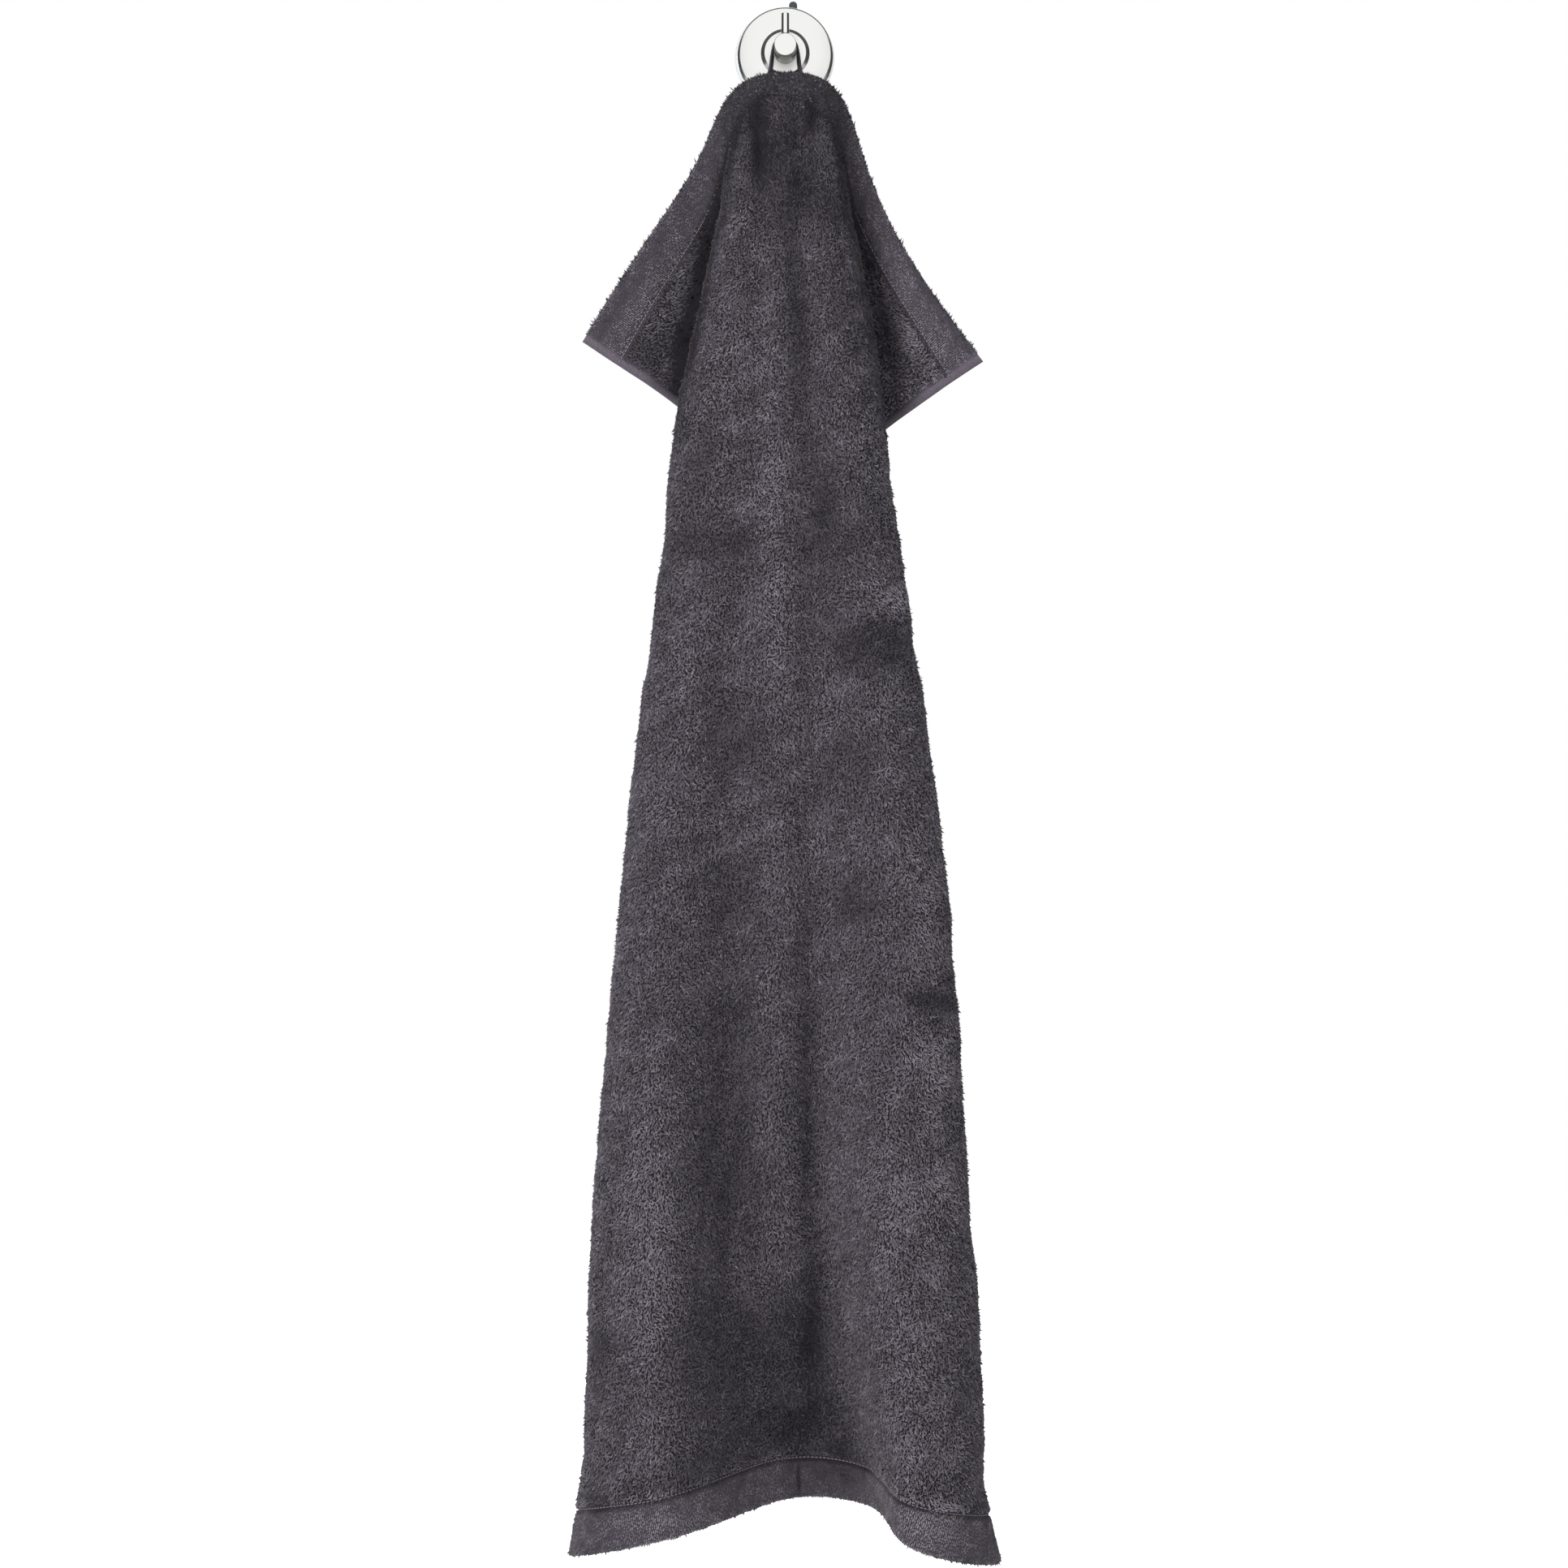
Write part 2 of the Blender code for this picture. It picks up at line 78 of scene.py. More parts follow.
def add_node(
    tree: bpy.types.NodeTree,
    kind: str,
    settings: Optional[dict[Any, Any]] = None,
    links: Optional[dict[Any, Socket]] = None,
) -> bpy.types.Node:
    """Adds one node, with its settings and what is linked to it.

    Args:
        tree: The node tree of a material or the world.
        kind: The node's Blender type, without "ShaderNode" at its start.
        settings: Values for its properties, or for its input sockets by name or number.
        links: The output socket that feeds each named or numbered input.

    Returns:
        The new node.
    """
    made = tree.nodes.new(f"ShaderNode{kind}")
    for name, value in (settings or {}).items():
        if isinstance(name, str) and hasattr(made, name):
            setattr(made, name, value)
        else:
            made.inputs[name].default_value = value
    for name, source in (links or {}).items():
        tree.links.new(source, made.inputs[name])
    return made


def curve_through(knots: Sequence[float], values: Points, places: Sequence[float]) -> Points:
    """Reads the natural cubic spline through values at knots.

    Args:
        knots: Rising places of the known values.
        values: One row for each knot.
        places: Where the spline is read.

    Returns:
        One row for each place.
    """
    knots, values, places = (np.asarray(part, float) for part in (knots, values, places))
    steps = np.diff(knots)
    count = len(knots)
    system = np.eye(count)
    right = np.zeros_like(values)
    for k in range(1, count - 1):
        system[k, k - 1:k + 2] = steps[k - 1], 2.0 * (steps[k - 1] + steps[k]), steps[k]
        rise = (values[k + 1] - values[k]) / steps[k]
        right[k] = 6.0 * (rise - (values[k] - values[k - 1]) / steps[k - 1])
    bends = np.linalg.solve(system, right)
    k = np.clip(np.searchsorted(knots, places, side="right") - 1, 0, count - 2)
    step = steps[k][:, None]
    near = (knots[k + 1] - places)[:, None]
    far = (places - knots[k])[:, None]
    cubic = (bends[k] * near**3 + bends[k + 1] * far**3) / (6.0 * step)
    straight = (values[k] / step - bends[k] * step / 6.0) * near
    straight += (values[k + 1] / step - bends[k + 1] * step / 6.0) * far
    return cubic + straight


def smooth_step(low: float, high: float, at: Points) -> Points:
    """Goes smoothly from 0 at low to 1 at high."""
    share = np.clip((np.asarray(at, float) - low) / (high - low), 0.0, 1.0)
    return share * share * (3.0 - 2.0 * share)


def bump_at(at: Points, middle: float, width: float) -> Points:
    """A soft bump, 1 at its middle and nearly 0 two widths away."""
    return np.exp(-(((at - middle) / width) ** 2))


def unit(vectors: Points) -> Points:
    """The same vectors, each one long."""
    return vectors / np.linalg.norm(vectors, axis=-1, keepdims=True)


def ripples(u: Points, v: Points, wave: float, seed: int) -> Points:
    """A smooth uneven field between about -1 and 1, made of a few crossing sine waves.

    Args:
        u: Places across, in millimetres.
        v: Places down, in millimetres.
        wave: The middle wavelength in millimetres.
        seed: Which field it is.

    Returns:
        The field's value at each place.
    """
    waves = 9
    dice = np.random.default_rng(seed)
    total = np.zeros(np.broadcast(u, v).shape)
    for _ in range(waves):
        turn = dice.uniform(0.0, math.tau)
        length = wave * dice.uniform(0.6, 1.7)
        phase = dice.uniform(0.0, math.tau)
        along = u * math.cos(turn) + v * math.sin(turn)
        total += np.sin(along * math.tau / length + phase)
    return total / math.sqrt(waves)


def quick_mesh(name: str, points: Points, faces: Points) -> bpy.types.Mesh:
    """Makes a smooth mesh from arrays.

    Args:
        name: The mesh's name.
        points: Vertices in millimetres, one row each.
        faces: Vertex numbers, one row of three or four for each face.

    Returns:
        The mesh, in metres.
    """
    mesh = bpy.data.meshes.new(name)
    count, corners = faces.shape
    mesh.vertices.add(len(points))
    mesh.vertices.foreach_set("co", (points * MM).astype(np.float32).ravel())
    mesh.loops.add(count * corners)
    mesh.loops.foreach_set("vertex_index", faces.astype(np.int32).ravel())
    mesh.polygons.add(count)
    mesh.polygons.foreach_set("loop_start", np.arange(0, count * corners, corners, dtype=np.int32))
    mesh.polygons.foreach_set("use_smooth", np.full(count, True))
    mesh.update(calc_edges=True)
    mesh.validate()
    return mesh


def solid_mesh(name: str, points: Points, faces: list, sharp: float) -> bpy.types.Mesh:
    """Makes a closed mesh from lists, in metres, smooth but for edges sharper than an angle."""
    mesh = bpy.data.meshes.new(name)
    mesh.from_pydata((np.asarray(points) * MM).tolist(), [], faces)
    mesh.shade_smooth()
    mesh.set_sharp_from_angle(angle=math.radians(sharp))
    return mesh


def tube_faces(rings: int, size: int) -> list:
    """Quads between rings of so many points, which look outward where the rings turn left."""
    here = np.arange(size)
    after = (here + 1) % size
    low = np.arange(rings - 1)[:, None] * size
    corners = [low + here, low + after, low + size + after, low + size + here]
    return np.stack(corners, axis=2).reshape(-1, 4).tolist()


def skinned(name: str, rings: Sequence[Points], sharp: float) -> bpy.types.Mesh:
    """A solid between rings of points, with a flat cap at each end.

    Args:
        name: The mesh's name.
        rings: One array of points for each ring, all equally long.
        sharp: The angle past which an edge stays sharp.

    Returns:
        The closed mesh.
    """
    size = len(rings[0])
    last = size * (len(rings) - 1)
    caps = [list(range(size))[::-1], list(range(last, last + size))]
    return solid_mesh(name, np.vstack(rings), tube_faces(len(rings), size) + caps, sharp)


def turned(name: str, profile: Sequence[tuple[float, float]], steps: int) -> bpy.types.Mesh:
    """A solid turned round the Y axis.

    Args:
        name: The mesh's name.
        profile: Radius and distance out from the wall, from axis to axis.
        steps: How many faces go round.

    Returns:
        The closed mesh, smooth but for its sharp edges.
    """
    turns = np.arange(steps) * math.tau / steps
    rings = [
        np.column_stack([r * np.cos(turns), np.full(steps, -out), r * np.sin(turns)])
        for r, out in profile[1:-1]
    ]
    points = np.vstack([*rings, (0.0, -profile[0][1], 0.0), (0.0, -profile[-1][1], 0.0)])
    foot, tip = len(points) - 2, len(points) - 1
    top = foot - steps
    around = [(k, (k + 1) % steps) for k in range(steps)]
    fans = [(foot, b, a) for a, b in around] + [(top + b, tip, top + a) for a, b in around]
    return solid_mesh(name, points, tube_faces(len(rings), steps) + fans, 28.0)


def arc(centre: tuple[float, float], radius: float, start: float, end: float, steps: int) -> list:
    """Points of a circle's arc, with its angles in degrees."""
    turns = np.radians(np.linspace(start, end, steps + 1))
    return [(centre[0] + radius * math.cos(a), centre[1] + radius * math.sin(a)) for a in turns]


def store(mesh: bpy.types.Mesh, name: str, values: Points) -> None:
    """Keeps one number for each vertex in a named attribute."""
    kept = mesh.attributes.new(name, "FLOAT", "POINT")
    kept.data.foreach_set("value", values.astype(np.float32))


def link(name: str, data: bpy.types.ID) -> bpy.types.Object:
    """Adds an object that shows a mesh, light or camera."""
    made = bpy.data.objects.new(name, data)
    bpy.context.collection.objects.link(made)
    return made


def add_piece(
    mesh: bpy.types.Mesh, finish: bpy.types.Material, node: Optional[str] = None
) -> bpy.types.Object:
    """Adds a piece that rides on the part's one body.

    Args:
        mesh: Its mesh, which names it.
        finish: Its material.
        node: The solid that it stands for, where there is one.

    Returns:
        The piece.
    """
    mesh.materials.append(finish)
    piece = link(mesh.name, mesh)
    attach(piece, "root")
    if node:
        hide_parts(node)
    return piece


class Finish:
    """A material under way: its node tree, and the places on the object in metres."""

    def __init__(self, name: str) -> None:
        """Starts a Principled material of this name."""
        self.made = bpy.data.materials.new(name)
        self.made.use_nodes = True
        self.tree = self.made.node_tree
        self.place = add_node(self.tree, "TexCoord").outputs["Object"]

    def close(self, values: dict[str, Any], links: dict[str, Socket]) -> bpy.types.Material:
        """Sets the shader.

        Args:
            values: Constants for its sockets.
            links: What feeds its other sockets.

        Returns:
            The material.
        """
        shader = self.tree.nodes["Principled BSDF"]
        for name, value in values.items():
            shader.inputs[name].default_value = value
        for name, source in links.items():
            self.tree.links.new(source, shader.inputs[name])
        return self.made


@dataclass(frozen=True)
class TerryLoops:
    """Cotton terry: uncut yarn loops, dyed anthracite, brushed by use.

    To the eye it is a matt grey with a mauve cast. Its tone paints shade at each loop's
    roots and a highlight on its crown, and painted shade and highlights over folds, seams
    and flanks, beside random lighter and darker patches.
    """

    # root is the dark end of the tone, used for painted shade at the loops' roots and in folds;
    # crown is the light end, used for painted highlights on the loops' tops.
    root: str = "1d1b1f"
    body: str = "49454c"
    crown: str = "8b858f"
    yarn_mm: float = 0.95
    yarn_tone: float = 0.22
    roughness: float = 0.93
    sheen: float = 0.08

    def build(self) -> bpy.types.Material:
        """Makes the material from each loop's tone, which paints shade and highlights, and yarn
        noise.
        """
        finish = Finish("cotton terry loops, dyed anthracite")
        tree = finish.tree
        tone = add_node(tree, "Attribute", {"attribute_name": "tone"})
        yarn = add_node(
            tree, "TexNoise", {"Scale": per_mm(self.yarn_mm), "Detail": 1.0},
            {"Vector": finish.place},
        )
        uneven = add_node(
            tree, "MapRange", {"To Min": -self.yarn_tone, "To Max": self.yarn_tone},
            {"Value": yarn.outputs["Fac"]},
        )
        summed = add_node(
            tree, "Math", {"operation": "ADD"}, {0: tone.outputs["Fac"], 1: uneven.outputs[0]}
        )
        ramp = add_node(tree, "ValToRGB", links={"Fac": summed.outputs[0]})
        stops = ramp.color_ramp.elements
        stops[0].color = linear(self.root)
        stops[1].color = linear(self.crown)
        stops.new(0.5).color = linear(self.body)
        return finish.close(
            {"Roughness": self.roughness, "Specular IOR Level": 0.2,
             "Sheen Weight": self.sheen, "Sheen Roughness": 0.5},
            {"Base Color": ramp.outputs["Color"]},
        )


@dataclass(frozen=True)
class WovenGround:
    """The plain-woven cotton ground that carries the loops, bare at the selvedges and the seams.

    To the eye it is a smooth, slightly lighter mauve grey with fine ribs of thread. Where the
    loops hide it, it is painted dark as painted shade. Its threads are drawn about twice as
    coarse as real ones, which would be too fine to show.
    """

    bare: str = "5d5760"
    gap: str = "453f48"
    # painted shade: the ground's colour where the loops hide it
    painted_shade_under_loops: str = "1c1a1e"
    thread_mm: float = 1.1
    roughness: float = 0.88

    def build(self) -> bpy.types.Material:
        """Makes the material, with a bump at the threads."""
        finish = Finish("plain-woven cotton ground, dyed anthracite")
        tree = finish.tree
        cells = add_node(
            tree, "TexVoronoi", {"Scale": per_mm(self.thread_mm)}, {"Vector": finish.place}
        ).outputs["Distance"]
        threads = add_node(
            tree, "Mix", {"data_type": "RGBA", 6: linear(self.bare), 7: linear(self.gap)},
            {"Factor": cells},
        )
        # Where the ground isn't bare, it takes the painted shade colour under the loops.
        shows = add_node(tree, "Attribute", {"attribute_name": "bare"})
        colour = add_node(
            tree, "Mix", {"data_type": "RGBA", 6: linear(self.painted_shade_under_loops)},
            {"Factor": shows.outputs["Fac"], 7: threads.outputs[2]},
        )
        bump = add_node(
            tree, "Bump", {"Strength": 0.5, "Distance": 0.0003, "invert": True},
            {"Height": cells},
        )
        return finish.close(
            {"Roughness": self.roughness, "Specular IOR Level": 0.25, "Sheen Weight": 0.15},
            {"Base Color": colour.outputs[2], "Normal": bump.outputs["Normal"]},
        )


@dataclass(frozen=True)
class SewingThread:
    """Spun sewing thread: a little lighter and smoother than the cotton that it holds down."""

    colour: str = "8a838d"
    shade: str = "5d5761"
    twist_mm: float = 0.5
    roughness: float = 0.65

    def build(self) -> bpy.types.Material:
        """Makes the material, uneven along the thread as its twist is."""
        finish = Finish("polyester sewing thread, spun")
        tree = finish.tree
        twist = add_node(
            tree, "TexNoise", {"Scale": per_mm(self.twist_mm), "Detail": 1.0},
            {"Vector": finish.place},
        )
        tone = add_node(
            tree, "Mix", {"data_type": "RGBA", 6: linear(self.shade), 7: linear(self.colour)},
            {"Factor": twist.outputs["Fac"]},
        )
        return finish.close(
            {"Roughness": self.roughness, "Specular IOR Level": 0.35},
            {"Base Color": tone.outputs[2]},
        )


@dataclass(frozen=True)
class TwillTape:
    """Woven cotton tape of the hanging loop: tight, flat and darker than the pile."""

    thread: str = "4c4650"
    shade: str = "2d2a30"
    rib_mm: float = 0.9
    slant: Place = (0.6, 0.5, 0.4)
    roughness: float = 0.8

    def build(self) -> bpy.types.Material:
        """Makes the material, with ribs that cross the tape slanted as a twill's do."""
        finish = Finish("cotton twill tape, woven")
        tree = finish.tree
        turn = add_node(tree, "Mapping", {"Rotation": self.slant}, {"Vector": finish.place})
        # A wave texture repeats every tau / 20 at a scale of 1.
        ribs = add_node(
            tree, "TexWave",
            {"Scale": math.tau / 20.0 / (self.rib_mm * MM), "Distortion": 1.5, "Detail": 1.0},
            {"Vector": turn.outputs[0]},
        ).outputs["Fac"]
        colour = add_node(
            tree, "Mix", {"data_type": "RGBA", 6: linear(self.shade), 7: linear(self.thread)},
            {"Factor": ribs},
        )
        bump = add_node(tree, "Bump", {"Strength": 0.5, "Distance": 0.0003}, {"Height": ribs})
        return finish.close(
            {"Roughness": self.roughness, "Specular IOR Level": 0.3},
            {"Base Color": colour.outputs[2], "Normal": bump.outputs["Normal"]},
        )


@dataclass(frozen=True)
class BrushedSteel:
    """Stainless steel, brushed in fine rings round the hook's axis.

    To the eye it is a pale silver with a soft glow and faint ring marks. The rings are drawn
    about four times as coarse as the real grit, so that they show.
    """

    name: str = "stainless steel, brushed in rings"
    colour: str = "e2e2e0"
    roughness: float = 0.23
    grit_mm: float = 0.35
    relief: float = 0.12
    haze_mm: float = 1000.0 / 90.0

    def build(self) -> bpy.types.Material:
        """Makes the metal, whose roughness and bump follow rings of grit."""
        finish = Finish(self.name)
        tree = finish.tree
        flat = add_node(
            tree, "VectorMath", {"operation": "MULTIPLY", 1: (1.0, 0.0, 1.0)}, {0: finish.place}
        )
        out = add_node(tree, "VectorMath", {"operation": "LENGTH"}, {0: flat.outputs[0]})
        depth = add_node(tree, "SeparateXYZ", links={0: finish.place})
        ring = add_node(
            tree, "CombineXYZ", links={0: out.outputs["Value"], 1: depth.outputs["Y"]}
        )
        grit, haze = (
            add_node(tree, "TexNoise", {"Scale": per_mm(size), "Detail": 3.0}, {"Vector": place})
            for size, place in ((self.grit_mm, ring.outputs[0]), (self.haze_mm, finish.place))
        )
        mixed = add_node(
            tree, "Mix", {"data_type": "FLOAT", "Factor": 0.4},
            {2: grit.outputs["Fac"], 3: haze.outputs["Fac"]},
        )
        rough = add_node(
            tree, "MapRange", {"To Min": self.roughness - 0.07, "To Max": self.roughness + 0.09},
            {"Value": mixed.outputs[0]},
        )
        bump = add_node(
            tree, "Bump", {"Strength": self.relief, "Distance": 0.00005},
            {"Height": grit.outputs["Fac"]},
        )
        return finish.close(
            {"Base Color": linear(self.colour), "Metallic": 1.0},
            {"Roughness": rough.outputs[0], "Normal": bump.outputs["Normal"]},
        )


@dataclass(frozen=True)
class ClearVinyl:
    """Soft clear PVC, moulded: a glossy see-through rim that only catches light at its edge."""

    colour: str = "eef2f5"
    roughness: float = 0.08
    ior: float = 1.53
    haze_mm: float = 1000.0 / 140.0

    def build(self) -> bpy.types.Material:
        """Makes the material, with faint moulding haze in its roughness."""
        finish = Finish("clear PVC, moulded")
        haze = add_node(
            finish.tree, "TexNoise", {"Scale": per_mm(self.haze_mm), "Detail": 2.0},
            {"Vector": finish.place},
        )
        rough = add_node(
            finish.tree, "MapRange", {"To Min": self.roughness, "To Max": self.roughness + 0.1},
            {"Value": haze.outputs["Fac"]},
        )
        return finish.close(
            {"Base Color": linear(self.colour), "IOR": self.ior, "Transmission Weight": 0.85},
            {"Roughness": rough.outputs[0]},
        )


@dataclass(frozen=True)
class MouldedRubber:
    """Black rubber-like tab, moulded: dark, slightly greyish, with a soft satin edge."""

    colour: str = "24292b"
    worn: str = "353b3d"
    roughness: float = 0.5
    grain_mm: float = 0.6

    def build(self) -> bpy.types.Material:
        """Makes the material, with the fine grain of a spark-eroded mould."""
        finish = Finish("black rubber, moulded")
        tree = finish.tree
        grain = add_node(
            tree, "TexNoise", {"Scale": per_mm(self.grain_mm), "Detail": 2.0},
            {"Vector": finish.place},
        ).outputs["Fac"]
        bump = add_node(tree, "Bump", {"Strength": 0.3, "Distance": 0.0001}, {"Height": grain})
        tone = add_node(
            tree, "Mix", {"data_type": "RGBA", 6: linear(self.colour), 7: linear(self.worn)},
            {"Factor": grain},
        )
        return finish.close(
            {"Roughness": self.roughness},
            {"Base Color": tone.outputs[2], "Normal": bump.outputs["Normal"]},
        )


@dataclass(frozen=True)
class StudioPaper:
    """Matt white paper of a studio floor, lit through from below so that it looks pure white."""

    colour: str = "f6f6f5"

    def build(self) -> bpy.types.Material:
        """Makes the material, whose glow is only seen and lights nothing."""
        finish = Finish("matt white paper, lit through")
        seen = add_node(finish.tree, "LightPath").outputs["Is Camera Ray"]
        return finish.close(
            {"Emission Color": linear("ffffff"), "Base Color": linear(self.colour),
             "Roughness": 0.9, "Specular IOR Level": 0.1},
            {"Emission Strength": seen},
        )


@dataclass
class FoldedCloth:
    """The towel's middle surface, with the folds it hangs in.

    The two tables name a point on every fold at some distances down the cloth. "back" is the
    inner bend of the pleat behind the front panel, "edge" the outer bend that shows as the
    towel's side, "lobe" the crest of a front wave and "groove" a hollow beside the ridge.
    """

    length: float = 1020.0
    hem_depth: float = 28.0
    ground_half: float = 0.8
    hem_half: float = 1.6
    stitch_half: float = 0.4
    lip_rise: float = 0.7
    selvedge_half: float = 0.55
    selvedge_band: float = 6.5
    hem_fold: float = 3.0
    crest: float = 46.0
    lobe_share: float = 0.5
    groove_share: float = 0.1
    row_step: float = 4.1
    # Height, wavelength and seed of the slight unevenness.
    unevenness: tuple = ((0.55, 58.0, 11), (0.3, 24.0, 12))
    span_faces: tuple = (18, 14, 12, 12, 10, 10, 12, 12, 14, 18)
    # Columns: down, then x, y and z of selvedge, back, edge, lobe and groove on the left, of the
    # ridge, and of groove, lobe, edge, back and selvedge on the right.
    wings: tuple = (
        (0,
         (-144, -22, -205.5), (-99, -20, -135), (-57.5, -17.5, -67), (-35.5, -23.5, -27.5),
         (-16, -36, -19.5), (0, -38, -18), (16, -36, -19), (32.5, -24.5, -25),
         (55.5, -17.5, -75), (88, -20, -146), (140.5, -22, -219.5)),
        (28,
         (-119, -20, -222), (-81, -17, -156), (-46, -22, -92), (-28, -43, -44),
         (-13.5, -50, -35), (0, -52, -36), (13.5, -50, -39), (27.5, -43, -49),
         (44, -22, -96), (78, -17, -168), (119, -20, -233.5)),
        (60,
         (-93, -18, -239), (-43, -15, -152), (-39, -33, -84), (-23, -54, -64),
         (-12.5, -55, -64), (0, -59, -66), (12.5, -54, -66), (24, -54, -67),
         (40.5, -33, -90), (46, -15, -162), (94, -18, -251)),
        (100,
         (-62, -16, -264), (-23, -15, -174), (-44.5, -41, -114), (-27, -61, -103),
         (-13, -58, -104), (0, -61, -106), (12.5, -56, -106), (27, -61, -105),
         (44.5, -41, -117), (25, -15, -182), (61, -16, -276)),
        (160,
         (-40, -13, -306), (-14, -18, -222), (-56, -45, -172), (-31, -65, -163),
         (-15, -60, -165), (0, -62, -166), (14, -57, -166), (32, -64, -165),
         (56, -45, -175), (15, -18, -228), (38, -13, -316)),
        (240,
         (-42, -12, -372), (-12, -21, -290), (-73, -48, -250), (-38, -66, -245),
         (-18, -61, -246), (0, -63, -246), (16.5, -57, -247), (38, -66, -246),
         (66.5, -48, -253), (12, -21, -294), (40, -12, -380)),
    )
    # Columns: down, height of the ridge, how much lower the left edge, the right edge and the
    # selvedges lie, then x and y of the same folds.
    curtain: tuple = (
        (340, -345, 4, 4, 108,
         (-52, -12), (-17, -23), (-84, -49), (-50, -68), (-23, -62), (-1, -65),
         (18.5, -59), (46, -68), (78, -49), (17, -23), (50, -12)),
        (480, -486, 6, 6, 94,
         (-76, -12), (-31, -24), (-103, -49), (-70, -73), (-34, -63), (-3, -70),
         (19, -61), (68, -75), (99.5, -49), (31, -24), (74, -12)),
        (640, -646, 10, 10, 78,
         (-100, -11), (-58, -24), (-119.5, -49), (-83, -79), (-36, -58), (-4, -67),
         (18, -56), (74, -81), (117.5, -49), (58, -24), (98, -11)),
        (800, -806, 16, 18, 62,
         (-122, -11), (-97, -24), (-133, -49), (-87, -87), (-36, -44), (-4, -50),
         (19, -39), (76, -88), (127.5, -49), (96, -24), (118, -11)),
        (930, -936, 24, 27, 48,
         (-133, -12), (-132, -27), (-138.5, -49), (-88, -93), (-29, -37), (3, -24),
         (38, -31), (80, -94), (137, -50), (132, -29), (131, -13)),
        (992, -998, 31, 34, 39,
         (-138, -14), (-143.5, -31), (-144.5, -50), (-91, -95), (-27, -44), (9, -18),
         (55, -31), (84.5, -97), (140.5, -54), (140.5, -33), (136, -16)),
        (1020, -1026, 34, 38, 39,
         (-143, -16), (-149, -33), (-150, -51), (-93, -96), (-26, -49), (12, -17),
         (62, -34), (86, -98), (148, -59), (148.5, -36), (142, -18)),
    )
    # Columns: x, z, half length, half width, tilt in degrees and height. A negative height is a
    # trough. They lie on the front panel alone.
    creases: tuple = (
        (-19, -66, 30, 4.5, 91, -3.2), (19, -58, 18, 4.5, 92, -2.6),
        (0, -74, 22, 20, 0, -3.5), (8, -170, 70, 7, 97, -1.6),
        (-66, -338, 22, 5, 4, -1.6), (-70, -352, 26, 6, 2, 1.2),
        (-62, -372, 20, 5, -10, -1.2), (84, -398, 14, 9, -8, 2),
        (66, -424, 26, 8, -6, -1.8), (60, -330, 20, 6, 12, -1.2),
        (90, -510, 16, 7, 10, -1.3), (58, -596, 18, 9, 25, -1.5),
        (104, -664, 24, 9, -6, 1.6), (98, -679, 24, 4, -3, -1.8),
        (96, -745, 22, 5, -12, -1.1), (-18, -590, 14, 10, 30, -1),
        (17, -690, 170, 6, 90, -2.2), (-36, -680, 120, 13, 88, -2),
        (18, -905, 45, 8, 90, -3), (-120, -905, 12, 14, 0, -1.4),
        (-124, -1016, 12, 5, 0, -1.5), (-140, -1044, 7, 6, 20, -1.6),
        (-42, -950, 26, 5, 38, -1.6), (36, -905, 28, 6, 56, -1.8),
        (30, -978, 24, 5, -32, -1.4), (-46, -1010, 9, 2, 84, -1),
        (-28, -1010, 10, 1.8, 88, -1.1), (-12, -1012, 10, 1.6, 90, -1),
        (9.5, -1016, 11, 2, 88, -2.4), (24, -1012, 9, 1.8, 94, -1.2),
        (38, -1013, 9, 1.8, 97, -1.2), (52, -1016, 8, 2, 100, -1.2),
    )
